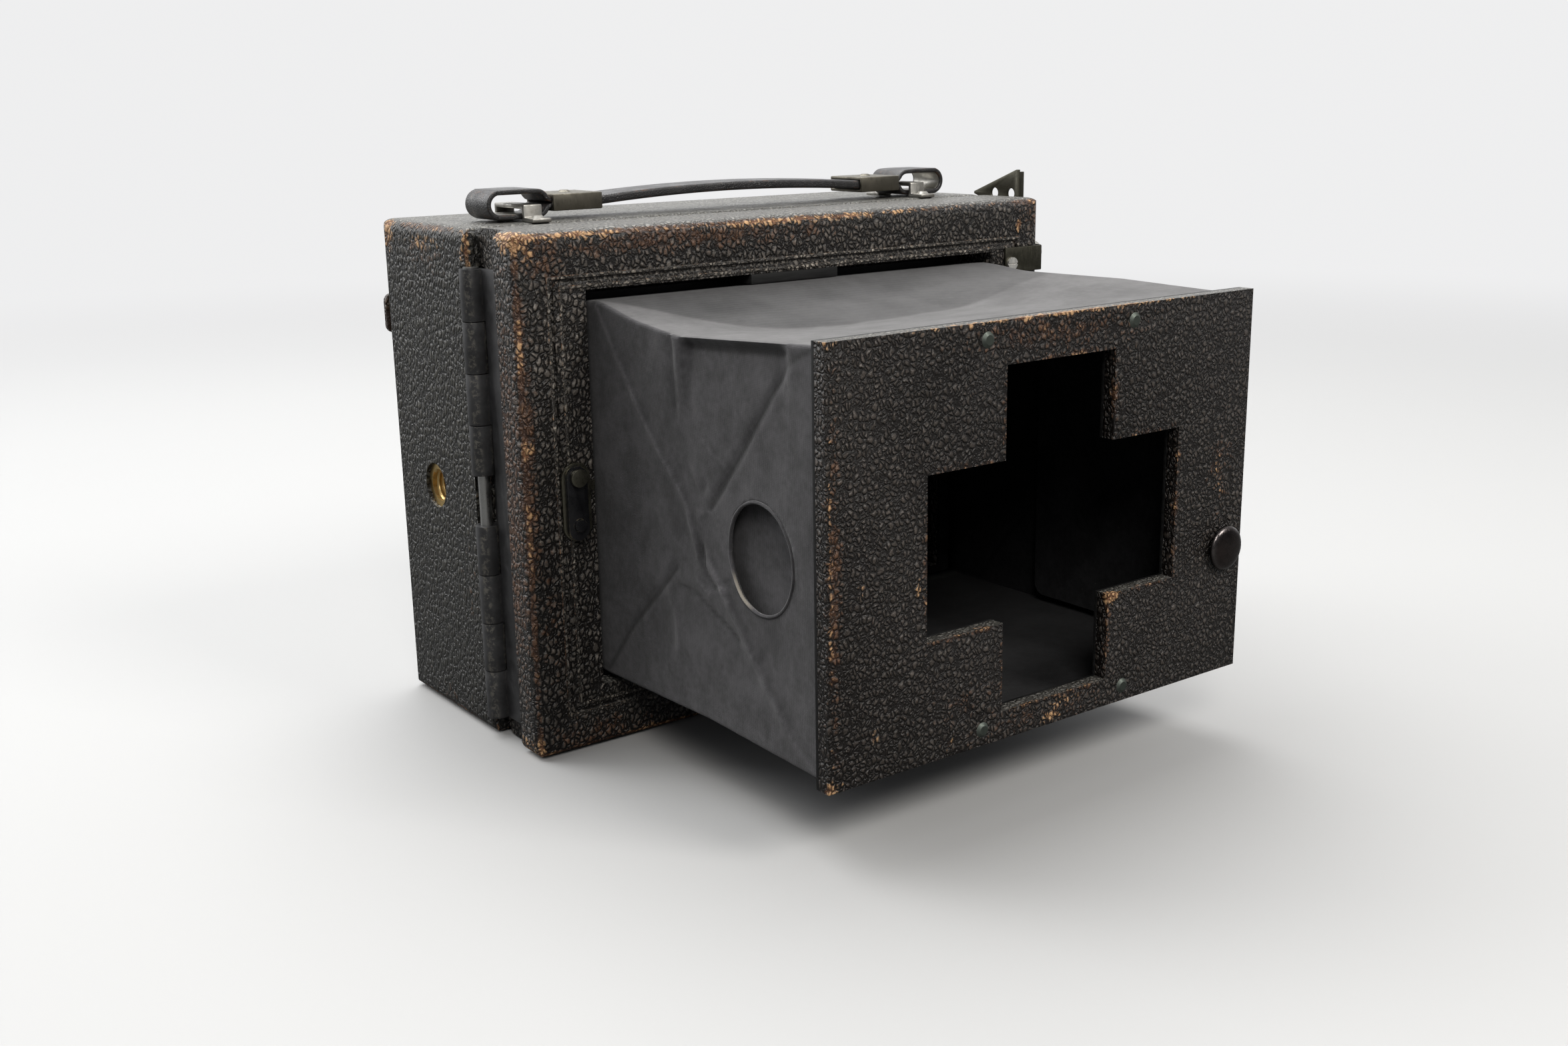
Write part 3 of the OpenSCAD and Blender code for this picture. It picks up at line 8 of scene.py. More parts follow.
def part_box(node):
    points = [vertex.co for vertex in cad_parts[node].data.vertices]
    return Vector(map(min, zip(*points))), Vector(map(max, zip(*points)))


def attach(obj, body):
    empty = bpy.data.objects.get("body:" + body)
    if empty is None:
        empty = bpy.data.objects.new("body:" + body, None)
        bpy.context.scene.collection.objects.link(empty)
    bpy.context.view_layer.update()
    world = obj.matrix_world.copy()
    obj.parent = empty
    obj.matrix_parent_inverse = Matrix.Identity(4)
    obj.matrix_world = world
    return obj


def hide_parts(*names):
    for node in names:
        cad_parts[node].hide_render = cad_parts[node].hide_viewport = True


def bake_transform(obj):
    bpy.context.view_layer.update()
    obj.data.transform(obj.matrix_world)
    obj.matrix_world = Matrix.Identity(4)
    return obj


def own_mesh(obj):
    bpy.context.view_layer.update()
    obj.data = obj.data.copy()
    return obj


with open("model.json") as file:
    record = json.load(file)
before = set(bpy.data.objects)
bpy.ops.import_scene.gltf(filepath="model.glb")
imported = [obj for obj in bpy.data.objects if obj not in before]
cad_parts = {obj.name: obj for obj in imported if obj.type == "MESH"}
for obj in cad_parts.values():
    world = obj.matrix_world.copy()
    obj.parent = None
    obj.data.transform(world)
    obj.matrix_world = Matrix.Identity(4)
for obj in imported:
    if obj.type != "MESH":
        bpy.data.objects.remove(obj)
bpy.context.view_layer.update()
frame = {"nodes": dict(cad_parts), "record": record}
nodes = frame["nodes"]
record = frame["record"]
BODIES = record["behaviour"]["bodies"]
BODY = {node: body for body, members in BODIES.items() for node in members}
SLOT = {row["node"]: row["material_slot"] for row in record["subparts"]}
MM = 0.001


def box_mm(node):
    """The lowest and highest corners of a CAD node at rest, in millimetres."""
    low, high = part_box(node)
    return Vector(low) / MM, Vector(high) / MM


def spot(node, share):
    """The point in mm at these shares of a node's box along x, y and z."""
    low, high = box_mm(node)
    return Vector([a + s * (b - a) for a, b, s in zip(low, high, share)])


# Node trees: helpers that write materials and the world in short calls


class Tree:
    """The node tree of a material or world. Values are numbers, tuples or sockets."""

    def __init__(self, owner, coordinates="Object"):
        owner.use_nodes = True
        self.t = owner.node_tree
        self.t.nodes.clear()
        coord = self.node("TexCoord")
        self.co = coord.outputs[coordinates]
        self.normal = coord.outputs["Normal"]

    def node(self, kind, inputs=None, **settings):
        """A node with these inputs, by their names or numbers, and these settings."""
        n = self.t.nodes.new("ShaderNode" + kind)
        for name, value in settings.items():
            setattr(n, name, value)
        for key, value in (inputs or {}).items():
            self.put(value, n.inputs[key])
        return n

    def put(self, value, socket):
        """Links a socket to this one, or sets a number or a colour on it."""
        if isinstance(value, bpy.types.NodeSocket):
            self.t.links.new(value, socket)
        elif hasattr(value, "__len__") and socket.type == "RGBA" and len(value) == 3:
            socket.default_value = (*value, 1)
        else:
            socket.default_value = value

    def noise(self, scale, detail=2.0, rough=0.5, at=None, color=False):
        at = self.co if at is None else at
        inputs = {"Vector": at, "Scale": scale, "Detail": detail, "Roughness": rough}
        return self.node("TexNoise", inputs).outputs["Color" if color else "Fac"]

    def cells(self, scale, feature="F1", at=None):
        at = self.co if at is None else at
        n = self.node("TexVoronoi", {"Vector": at, "Scale": scale}, feature=feature)
        return n.outputs["Distance"]

    def wave(self, scale, direction, distort=0.0):
        inputs = {"Vector": self.co, "Scale": scale, "Distortion": distort}
        return self.node("TexWave", inputs, bands_direction=direction).outputs["Fac"]

    def attribute(self, name):
        return self.node("Attribute", attribute_name=name).outputs["Fac"]

    def math(self, op, a, b=0.0):
        return self.node("Math", {0: a, 1: b}, operation=op).outputs[0]

    def add(self, a, b):
        return self.math("ADD", a, b)

    def mul(self, a, b):
        return self.math("MULTIPLY", a, b)

    def vec(self, op, a, b=(0, 0, 0), out=0):
        second = "Scale" if op == "SCALE" else 1
        return self.node("VectorMath", {0: a, second: b}, operation=op).outputs[out]

    def part(self, vector, axis):
        return self.node("SeparateXYZ", {0: vector}).outputs[axis]

    def step(self, value, low, high, to0=0.0, to1=1.0):
        """Goes smoothly from to0 to to1 as value goes from low to high."""
        inputs = {"Value": value, "From Min": low, "From Max": high, "To Min": to0, "To Max": to1}
        return self.node("MapRange", inputs, interpolation_type="SMOOTHSTEP").outputs[0]

    def mix(self, share, a, b):
        return self.node("Mix", {"Factor": share, 6: a, 7: b}, data_type="RGBA").outputs[2]

    def bump(self, height, distance, strength=1.0):
        inputs = {"Height": height, "Distance": distance, "Strength": strength}
        return self.node("Bump", inputs).outputs[0]

    def edges(self, low=0.03, high=0.22):
        """1 where the surface's normal lies between the axes, as on a rounded edge."""
        flat = self.vec("ABSOLUTE", self.normal)
        x, y, z = (self.part(flat, axis) for axis in range(3))
        top = self.math("MAXIMUM", self.math("MAXIMUM", x, y), z)
        return self.step(self.math("SUBTRACT", 1.0, top), low, high)

    def upward(self, low=0.55, high=0.98):
        """1 where the surface faces up: where dust lies, and where sheen is painted."""
        return self.step(self.part(self.normal, 2), low, high)

    def spots(self, places):
        """The largest of soft spots: centre in mm, reach in mm along x, y and z, strength."""
        best = None
        for centre, reach, strength in places:
            away = self.vec("SUBTRACT", self.co, tuple(c * MM for c in centre))
            away = self.vec("MULTIPLY", away, tuple(1 / (r * MM) for r in reach))
            far = self.vec("LENGTH", away, out=1)
            one = self.mul(self.step(far, 1.0, 0.0), strength)
            best = one if best is None else self.math("MAXIMUM", best, one)
        return best

    def for_camera(self, seen, lit):
        """The shader seen for rays from the camera, and lit for all others."""
        camera = self.node("LightPath").outputs["Is Camera Ray"]
        return self.node("MixShader", {0: camera, 1: lit, 2: seen}).outputs[0]


class Material(Tree):
    """A material with a principled shader, whose inputs are set by short names."""

    def __init__(self, name):
        self.mat = bpy.data.materials.new(name)
        super().__init__(self.mat)
        self.bsdf = self.node("BsdfPrincipled")
        self.out = self.node("OutputMaterial").inputs[0]
        self.put(self.bsdf.outputs[0], self.out)

    def set(self, **values):
        names = {"color": "Base Color", "rough": "Roughness", "metal": "Metallic", "bump": "Normal",
                 "spec": "Specular IOR Level", "sheen": "Sheen Weight",
                 "sheen_rough": "Sheen Roughness", "coat": "Coat Weight",
                 "coat_rough": "Coat Roughness"}
        for key, value in values.items():
            self.put(value, self.bsdf.inputs[names[key]])
        return self.mat


def paler(color, times, plus):
    return tuple(min(1, times * v + plus) for v in color)


# Leather: pebbled grain with painted shade in its valleys and painted glints on its knobs, rubbed
# brown and worn to tan at edges and spots

BROWN_DARK = (0.05, 0.022, 0.012)
BROWN_LIGHT = (0.15, 0.075, 0.04)
BROWN_THIN = (0.11, 0.05, 0.025)
TAN_DARK = (0.19, 0.08, 0.034)
TAN_LIGHT = (0.66, 0.4, 0.2)
# Dust and painted sheen on faces that look up
DUST_AND_SHEEN = (0.27, 0.265, 0.24)
# Below this height the leather is darkened: painted shade
FOOT_SHADE_HIGH = 75 * MM


def pebbles(t, grain_mm, drawn):
    """The grain: 1 on its knobs and 0 in its valleys, stretched along axes where drawn is low."""
    warp = t.vec("SCALE", t.vec("SUBTRACT", t.noise(500, 3, color=True), (0.5, 0.5, 0.5)), 0.002)
    at = t.vec("MULTIPLY", t.vec("ADD", t.co, warp), drawn)
    gap = t.step(t.cells(1000 / grain_mm, "DISTANCE_TO_EDGE", at), 0.0, 0.26)
    knob = t.step(t.cells(1000 / grain_mm, "F1", at), 0.95, 0.0)
    lumps = t.noise(800, 3, 0.6, at=at)
    return t.mul(gap, t.add(t.mul(knob, 0.65), t.mul(lumps, 0.6)))


def rubbed(t, rim, uneven, spots, low, high):
    """1 where the leather is rubbed: along its rim and at its spots, in an uneven outline."""
    return t.step(t.add(t.add(rim, t.spots(spots)), uneven), low, high)


def leather(name, tan_spots, brown_spots, dark, light, grain_mm=1.25, edge=0.5, knob_glints=0.3,
            drawn=(1.0, 1.0, 0.8), dust_and_sheen=0.6, foot_shade=0.85):
    """The knobs of the grain are lightened with painted glints, and the foot is darkened with
    painted shade.
    """
    t = Material(name)
    grain = pebbles(t, grain_mm, drawn)
    height = t.add(grain, t.mul(t.noise(2600, 3, 0.6), 0.12))
    broad = t.step(t.noise(30, 4, 0.6), 0.3, 0.72, 0.75, 1.1)
    patch = t.noise(170, 4, 0.65)
    # Darker in the grain's valleys: painted shade; broad and patch give the leather's own uneven
    # tone
    tone = t.mul(t.step(grain, 0.05, 0.75), t.mul(broad, t.step(patch, 0.25, 0.75, 0.65, 1.1)))
    # Darker towards the foot: painted shade
    tone = t.mul(tone, t.step(t.part(t.co, 2), 0.0, FOOT_SHADE_HIGH, foot_shade, 1.0))
    color = t.mix(tone, dark, light)
    # Painted glints of light on the knobs of the grain
    glint_share = t.mul(t.step(grain, 0.6, 0.95), t.step(t.noise(420, 4, 0.75), 0.5, 0.66))
    color = t.mix(t.mul(glint_share, knob_glints), color, paler(light, 2.8, 0.03))
    # Upward faces paled: dust, and painted sheen of the light from above
    dust_and_sheen_share = t.mul(t.upward(), t.step(grain, 0.0, 0.6, 0.4 * dust_and_sheen, dust_and_sheen))
    color = t.mix(dust_and_sheen_share, color, DUST_AND_SHEEN)
    mottle = t.mul(t.math("SUBTRACT", t.noise(300, 6, 0.78), 0.5), 1.9)
    relief = t.mul(t.math("SUBTRACT", grain, 0.3), 0.3)
    rim, uneven = t.edges(), t.add(mottle, relief)
    brown = rubbed(t, t.mul(rim, edge), uneven, brown_spots, 0.42, 0.85)
    lit = t.step(t.add(t.noise(520, 4, 0.7), t.mul(relief, 0.8)), 0.38, 0.62)
    color = t.mix(t.mul(brown, 0.85), color, t.mix(lit, BROWN_DARK, BROWN_LIGHT))
    worn = rubbed(t, t.mul(rim, 0.8 * edge), uneven, tan_spots, 0.56, 0.95)
    lit = t.step(t.add(t.noise(330, 4, 0.7), relief), 0.38, 0.62)
    color = t.mix(t.mul(worn, 0.92), color, t.mix(lit, TAN_DARK, TAN_LIGHT))
    rough = t.add(t.mul(worn, 0.22), t.step(patch, 0.2, 0.8, 0.34, 0.5))
    return t.set(color=color, rough=rough, spec=0.5, bump=t.bump(height, 0.0006))


def smooth_leather(name, color, rough=0.4):
    t = Material(name)
    fine = t.cells(1900, "DISTANCE_TO_EDGE")
    height = t.add(t.step(fine, 0.0, 0.25), t.mul(t.noise(300, 4), 0.8))
    tone = t.mix(t.step(t.noise(160, 5, 0.7), 0.45, 0.8), color, paler(color, 2.2, 0.006))
    thin = t.mul(t.step(t.noise(500, 5, 0.75), 0.5, 0.7), t.edges(0.02, 0.2))
    rough = t.step(t.noise(220, 3), 0.3, 0.7, rough - 0.08, rough + 0.15)
    return t.set(color=t.mix(thin, tone, BROWN_THIN), rough=rough, coat=0.15, coat_rough=0.35,
                 bump=t.bump(height, 0.00005))


# Cloth: a fine weave, with painted highlights on raised folds and painted shade in creases

LINT = (0.16, 0.155, 0.15)
BARE_THREAD = (0.4, 0.36, 0.3)


def cloth(name, color, sheen=0.2, dust_and_sheen=(0.185, 0.182, 0.177)):
    """The attribute fold is 0 on flat cloth; below 0 it darkens the cloth with painted shade, above
    0 it lightens it with a painted highlight, and from 1.3 up it turns it to bare thread where
    rubbed.
    """
    t = Material(name)
    weave = t.mul(t.wave(900, "Y", 1.2), t.wave(900, "Z", 1.2))
    weave = t.add(weave, t.mul(t.wave(900, "X", 1.2), 0.5))
    height = t.add(t.mul(weave, 0.5), t.noise(1800, 4, 0.7))
    tone = t.add(t.mul(t.noise(90, 6, 0.68), 0.75), t.mul(t.noise(700, 3), 0.25))
    shade = t.mix(t.step(tone, 0.34, 0.66), paler(color, 0.85, 0.0), paler(color, 2.0, 0.006))
    lint = t.step(t.noise(1500, 2, 0.5), 0.72, 0.8)
    shade = t.mix(t.mul(lint, 0.25), shade, LINT)
    # Upward faces paled: dust, and painted sheen of the light from above
    shade = t.mix(t.mul(t.upward(0.9, 1.0), t.step(tone, 0.3, 0.7, 0.3, 0.5)), shade, dust_and_sheen)
    fold = t.attribute("fold")
    # Painted shade where fold is below 0, painted highlight where it is above 0
    change = t.mul(t.step(fold, -1.0, 0.0, 0.3, 1.0), t.step(fold, 0.0, 1.0, 1.0, 1.9))
    shade = t.vec("SCALE", shade, change)
    shade = t.mix(t.step(fold, 1.3, 2.0, 0.0, 0.8), shade, BARE_THREAD)
    return t.set(color=shade, rough=0.88, spec=0.25, sheen=sheen, sheen_rough=0.5,
                 bump=t.bump(height, 0.00007, 0.8))


# Metal, lacquer, wood and glass


def metal(name, color, rough=0.35, tarnish=(0.05, 0.04, 0.03), amount=0.4, shine=0.35):
    t = Material(name)
    cloud = t.step(t.noise(240, 6, 0.7), 0.42, 0.72)
    specks = t.step(t.noise(1300, 4, 0.7), 0.6, 0.75)
    dirt = t.math("MAXIMUM", t.mul(cloud, amount), t.mul(specks, amount * 0.8))
    tone = t.mix(dirt, color, tarnish)
    tone = t.mix(t.mul(t.edges(0.02, 0.2), shine), tone, paler(color, 1.5, 0.05))
    scratches = t.noise(90, 5, 0.7, at=t.vec("MULTIPLY", t.co, (30, 30, 4)))
    r = t.add(t.step(scratches, 0.3, 0.7, rough - 0.08, rough + 0.12), t.mul(dirt, 0.3))
    return t.set(color=tone, rough=r, metal=t.math("SUBTRACT", 1.0, t.mul(dirt, 0.5)),
                 bump=t.bump(t.add(scratches, specks), 0.00003, 0.6))


def lacquer(name, color=(0.012, 0.012, 0.013), rough=0.32, chip=(0.3, 0.24, 0.13), chips=0.5):
    t = Material(name)
    tone = t.mix(t.step(t.noise(200, 5, 0.65), 0.35, 0.75), color, paler(color, 1.9, 0.005))
    worn = t.mul(t.edges(0.02, 0.18), t.step(t.noise(700, 5, 0.75), 0.48, 0.6))
    worn = t.mul(worn, chips)
    rough = t.step(t.noise(350, 4), 0.3, 0.7, rough, rough + 0.2)
    return t.set(color=t.mix(worn, tone, chip), rough=rough,
                 metal=t.mul(worn, 0.8), spec=0.5, bump=t.bump(t.noise(900, 3), 0.00003, 0.7))


def black_wood(name, color=(0.006, 0.006, 0.006)):
    t = Material(name)
    grain = t.noise(60, 6, 0.6, at=t.vec("MULTIPLY", t.co, (2, 14, 14)))
    tone = t.mix(t.step(grain, 0.4, 0.75), color, paler(color, 2.4, 0.003))
    return t.set(color=tone, spec=0.3, rough=t.step(grain, 0.3, 0.7, 0.55, 0.8),
                 bump=t.bump(grain, 0.0001, 0.6))


def ground(name):
    t = Material(name)
    haze = t.step(t.noise(60, 5, 0.6), 0.35, 0.8)
    # A near-black tint: painted shade of the closed box behind the glass
    tone = t.mix(haze, (0.008, 0.009, 0.009), (0.02, 0.021, 0.02))
    return t.set(color=tone, rough=0.42, spec=0.25, bump=t.bump(t.noise(3000, 2), 0.00002, 0.5))


def lens_glass(name):
    t = Material(name)
    tint = t.mix(t.step(t.noise(12, 2), 0.3, 0.7), (0.02, 0.03, 0.035), (0.035, 0.03, 0.045))
    smear = t.step(t.noise(90, 4, 0.7), 0.4, 0.8, 0.03, 0.09)
    return t.set(color=tint, rough=smear, spec=0.8, coat=1.0, coat_rough=0.02)


# Wear: share of the node's box along x, y and z, reach in mm, strength

BACK_TAN = [
    ((0, 0.1, 0.985), (12, 13, 6), 1), ((0.03, 0, 0.97), (7, 4, 11), 0.7),
    ((0.1, 0, 0.986), (22, 4, 2.6), 0.75), ((0.5, 0, 0.986), (75, 3, 1.9), 0.75),
    ((0.01, 0, 0.79), (2.6, 4, 9), 0.5), ((0.012, 0, 0.48), (2.6, 4, 20), 0.45),
    ((0.01, 0, 0.61), (4, 4, 4), 0.85), ((0, 0.3, 0.62), (3, 8, 40), 0.3),
    ((0, 0.2, 0.02), (16, 12, 6), 0.75), ((0.2, 0, 0.01), (30, 4, 3.2), 0.6),
    ((0.99, 0.1, 0.98), (8, 7, 6), 0.35), ((0.949, 0, 0.943), (2, 3, 3.5), 1),
    ((1, 0, 0.4), (3, 4, 60), 0.35),
]
BACK_BROWN = [
    ((0.01, 0, 0.6), (4.5, 4, 75), 0.8), ((0, 0.28, 0.5), (3, 20, 110), 0.68),
    ((0.04, 0, 0.96), (16, 5, 14), 0.7), ((0.3, 0, 0.97), (95, 4, 7.5), 0.68),
    ((0.98, 0, 0.97), (12, 9, 12), 0.6),
    ((0.1, 0, 0.03), (40, 8, 9), 0.6), ((0.03, 0, 0.3), (7, 5, 50), 0.45),
]
BOX_TAN = [
    ((0, 0.45, 0.965), (5, 26, 4.5), 0.7), ((0, 0.04, 0.95), (4, 6, 10), 0.6),
    ((0, 0.92, 0.965), (6, 7, 9), 0.85), ((0, 0.98, 0.5), (4, 3, 55), 0.35),
    ((0, 0.55, 0.015), (5, 26, 4), 0.3), ((1, 0.5, 0.98), (8, 28, 6), 0.45),
    ((0.5, 0.97, 0.98), (85, 5, 4), 0.35), ((0, 0.3, 0.47), (3, 3, 4), 0.5),
]
BOX_BROWN = [
    ((0, 0.5, 0.95), (5, 30, 11), 0.5), ((0, 0.2, 0.3), (4, 16, 36), 0.3),
    ((0, 0.03, 0.6), (4, 4, 60), 0.5), ((0, 0.5, 0.02), (5, 30, 9), 0.4),
]
BOARD_TAN = [
    ((0.008, 0, 0.5), (1.4, 5, 80), 0.64), ((0.19, 0, 0.42), (4.5, 3, 5), 0.7),
    ((0.065, 0, 0.456), (4, 3, 6), 0.6), ((0.26, 0, 0.04), (6, 3, 4), 0.6),
    ((0.645, 0, 0.285), (5, 4, 3.4), 1.2), ((0.378, 0, 0.303), (5, 3, 4), 0.7),
    ((0.52, 0, 0.05), (18, 4, 3), 0.6), ((0.923, 0, 0.56), (3.5, 3, 7), 0.7),
    ((0.495, 0, 0.02), (12, 3, 3), 0.7), ((0.09, 0, 0.109), (5, 3, 4), 0.6),
    ((0.5, 0, 1), (90, 4, 1.6), 0.85), ((0, 0, 0), (7, 5, 7), 0.7),
    ((0, 0, 1), (7, 5, 4), 0.7), ((0.3, 0, 0.84), (8, 3, 5), 0.4),
    ((0.5, 0, 0.96), (26, 4, 4), 0.42), ((0.93, 0, 0.52), (4, 3, 9), 0.6),
]
BOARD_BROWN = [
    ((0.5, 0, 0.96), (60, 4, 9), 0.6), ((0.45, 0, 0.3), (20, 4, 9), 0.3),
    ((0.015, 0, 0.5), (4, 5, 80), 0.66), ((0.5, 0, 0.03), (50, 4, 7), 0.5),
    ((0.93, 0, 0.55), (8, 4, 20), 0.6), ((0.3, 0, 0.12), (30, 4, 10), 0.4),
]


def wear(node, spots):
    return [(spot(node, share), reach, strength) for share, reach, strength in spots]


def hole_wear(node, width, strength):
    """Spots in mm along the straight edges of the hole through a flat node, read from its face."""
    low, high = box_mm(node)
    points = [v.co / MM for v in nodes[node].data.vertices]
    face = [p for p in points if p.y < low.y + 0.01]
    rim, knob_side = 5, 9
    inside = [p for p in face if low.x + rim < p.x < high.x - knob_side]
    inside = [p for p in inside if low.z + rim < p.z < high.z - rim]
    corners = {(round(p.x, 2), round(p.z, 2)) for p in inside}
    spots = []
    for axis in (0, 1):
        for line in sorted({c[axis] for c in corners}):
            ends = sorted(c[1 - axis] for c in corners if c[axis] == line)
            for a, b in zip(ends[::2], ends[1::2]):
                mid, half = (a + b) / 2, (b - a) / 2 + width
                centre = (line, low.y, mid) if axis == 0 else (mid, low.y, line)
                reach = (width, 3, 2 * half) if axis == 0 else (2 * half, 3, width)
                spots.append((centre, reach, strength))
    return spots


BACK_WEAR = (wear("door_case", BACK_TAN), wear("door_case", BACK_BROWN))
BOX_WEAR = (wear("body_box", BOX_TAN), wear("body_box", BOX_BROWN))
BOARD_WEAR = (wear("hood_board", BOARD_TAN) + hole_wear("hood_board", 1.0, 0.5),
              wear("hood_board", BOARD_BROWN) + hole_wear("hood_board", 2.6, 0.6))
NOWHERE = [((0, 0, 0), (1, 1, 1), 0.0)]
NO_WEAR = (NOWHERE, NOWHERE)

MATERIALS = {
    "back_leather": leather(
        "back_leather", *BACK_WEAR, (0.008, 0.0065, 0.0055), (0.125, 0.11, 0.095), knob_glints=0.6,
        drawn=(1.0, 1.0, 0.7)),
    "box_leather": leather(
        "box_leather", *BOX_WEAR, (0.008, 0.0075, 0.006), (0.068, 0.064, 0.052), knob_glints=0.15,
        drawn=(1.0, 1.0, 0.6), dust_and_sheen=0.72, foot_shade=0.4),
    "board_leather": leather(
        "board_leather", *BOARD_WEAR, (0.007, 0.005, 0.004), (0.07, 0.058, 0.049), grain_mm=1.15,
        knob_glints=0.35),
    "front_leather": leather(
        "front_leather", *NO_WEAR, (0.01, 0.009, 0.008), (0.07, 0.065, 0.058), edge=0.35),
    "brown_leather": leather(
        "brown_leather", *NO_WEAR, (0.03, 0.018, 0.012), (0.12, 0.08, 0.055), edge=0.5),
    # Paler and more flecked than the back's leather: painted highlight on the raised lips
    "lip": leather(
        "pressed_leather", *BACK_WEAR, (0.035, 0.031, 0.027), (0.24, 0.215, 0.18), knob_glints=0.7),
    "strap": smooth_leather("strap_leather", (0.014, 0.0135, 0.014)),
    "bellows": smooth_leather("bellows_leather", (0.012, 0.011, 0.011), 0.5),
    "cloth": cloth("hood_cloth_black", (0.031, 0.03, 0.032)),
    "flap": cloth("flap_cloth", (0.03, 0.029, 0.031), 0.15),
    # Near black: the shutter blind's own black cloth, and painted shade on the right flap and the
    # inside of the hood
    "blind": cloth("blind_and_shade_cloth", (0.008, 0.008, 0.009), 0.05, (0.02, 0.02, 0.021)),
    "black_wood": black_wood("blackened_wood"),
    "black_metal": lacquer("black_lacquer"),
    "hinge": lacquer("hinge_black", (0.026, 0.026, 0.027), 0.34, (0.34, 0.32, 0.27), 0.35),
    # Edges chipped to brass: worn lacquer, and painted highlight along the arm's edges
    "catch": lacquer("catch_lacquer", (0.006, 0.006, 0.007), 0.2, (0.5, 0.42, 0.26), 0.7),
    "catch_brass": metal("catch_brass", (0.2, 0.19, 0.145), 0.28, (0.03, 0.029, 0.022), 0.5, 1.0),
    "nickel": metal("old_nickel", (0.4, 0.39, 0.36), 0.34, (0.08, 0.07, 0.055), 0.6),
    "knob": metal("knob_steel", (0.05, 0.042, 0.04), 0.2, (0.025, 0.014, 0.012), 0.5, 0.9),
    "steel": metal("bare_steel", (0.42, 0.42, 0.41), 0.3, (0.1, 0.095, 0.08), 0.4),
    "bright": metal("screw_steel", (0.8, 0.79, 0.75), 0.5, (0.2, 0.19, 0.16), 0.3),
    "brass": metal("old_brass", (0.6, 0.43, 0.18), 0.33, (0.12, 0.085, 0.03), 0.5),
    "dark_brass": metal("dark_brass", (0.085, 0.081, 0.062), 0.42, (0.03, 0.028, 0.021), 0.6),
    "sleeve": metal("sleeve_metal", (0.14, 0.13, 0.105), 0.42, (0.04, 0.035, 0.026), 0.55),
    "green": metal("green_brass", (0.1, 0.115, 0.1), 0.55, (0.035, 0.045, 0.036), 0.7),
    "ground": ground("focusing_glass"),
    "lens_glass": lens_glass("lens_glass"),
}

# Which nodes wear which look
NODES_OF = {
    "box_leather": "body_box",
    "back_leather": "door_case",
    "board_leather": "hood_board",
    "front_leather": "front_board",
    "brown_leather": "front_catch",
    "flap": "left_flap",
    "blind": "shutter_blind right_flap",
    "black_wood": "shutter_panel hood_top_clip board_backing",
    "black_metal": "plate_frame hood_clamp flap_brackets iris_plate",
    "hinge": "box_hinge_leaf door_hinge_leaf",
    "catch": "catch_arm",
    "catch_brass": "catch_base",
    "nickel": "front_trim staple_left staple_right staple_screws latch_bolt left_struts "
    "right_struts strut_spindles_left strut_spindles_right winding_knob tension_knob "
    "release_button",
    "brass": "side_tripod_bush base_tripod_bush latch_keeper plate_rails wall_bushes "
    "strut_brackets glass_screws knob_tongue lens_flange lens_barrel aperture_ring",
    "dark_brass": "glass_frame latch_plate sight_base sight_leaf",
    "steel": "hinge_pin",
    "bright": "latch_screw",
    "green": "board_rivets",
    "knob": "board_knob",
    "sleeve": "handle_sleeves",
    "ground": "ground_glass",
    "lens_glass": "front_glass rear_glass",
}
LOOK = {node: look for look, members in NODES_OF.items() for node in members.split()}
for node, look in LOOK.items():
    data = nodes[node].data
    data.materials.clear()
    data.materials.append(MATERIALS[look])


# Mesh helpers


def link(name, data):
    """A new object with this data, in the scene."""
    obj = bpy.data.objects.new(name, data)
    bpy.context.scene.collection.objects.link(obj)
    return obj


def mesh_object(name, bm, material):
    mesh = bpy.data.meshes.new(name)
    bm.to_mesh(mesh)
    bm.free()
    mesh.materials.append(material)
    return link(name, mesh)


def make(name, bm, look, body=None, slot=None, node=None, smooth_deg=35.0):
    """A piece from a bmesh, smooth but for edges sharper than smooth_deg."""
    bmesh.ops.recalc_face_normals(bm, faces=bm.faces)
    limit = math.radians(smooth_deg)
    for f in bm.faces:
        f.smooth = True
    for e in bm.edges:
        if len(e.link_faces) == 2:
            e.smooth = e.calc_face_angle(0.0) < limit
    obj = mesh_object(name, bm, MATERIALS[look])
    if node:
        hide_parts(node)
        body, slot = BODY[node], SLOT[node]
    if body:
        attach(obj, body)
    return obj


SHARP = math.radians(40)
ROUND_STEPS = 2


def skin(name, node, width_mm, cuts=()):
    """A CAD node's own shape with rounded edges. Each cut is a point in mm and a normal."""
    bm = bmesh.new()
    bm.from_mesh(nodes[node].data)
    bmesh.ops.remove_doubles(bm, verts=bm.verts, dist=2e-6)
    bmesh.ops.dissolve_limit(bm, angle_limit=math.radians(0.6), verts=bm.verts, edges=bm.edges)
    for point, normal in cuts:
        everything = bm.verts[:] + bm.edges[:] + bm.faces[:]
        bmesh.ops.bisect_plane(bm, geom=everything, dist=1e-7, plane_co=Vector(point) * MM,
                               plane_no=normal, clear_outer=True)
        bmesh.ops.holes_fill(bm, edges=[e for e in bm.edges if e.is_boundary], sides=0)
    sharp = [e for e in bm.edges if len(e.link_faces) == 2 and e.calc_face_angle(0.0) > SHARP]
    bmesh.ops.bevel(bm, geom=sharp, offset=width_mm * MM, offset_type="OFFSET",
                    segments=ROUND_STEPS, profile=0.5, affect="EDGES", clamp_overlap=True)
    for f in bm.faces:
        f.material_index = 0
    return make(name, bm, LOOK[node], node=node)


def strip(bm, row, after, closed=True):
    """Quads between two rows of as many vertices."""
    n = len(row)
    for k in range(n if closed else n - 1):
        j = (k + 1) % n
        bm.faces.new((row[k], row[j], after[j], after[k]))


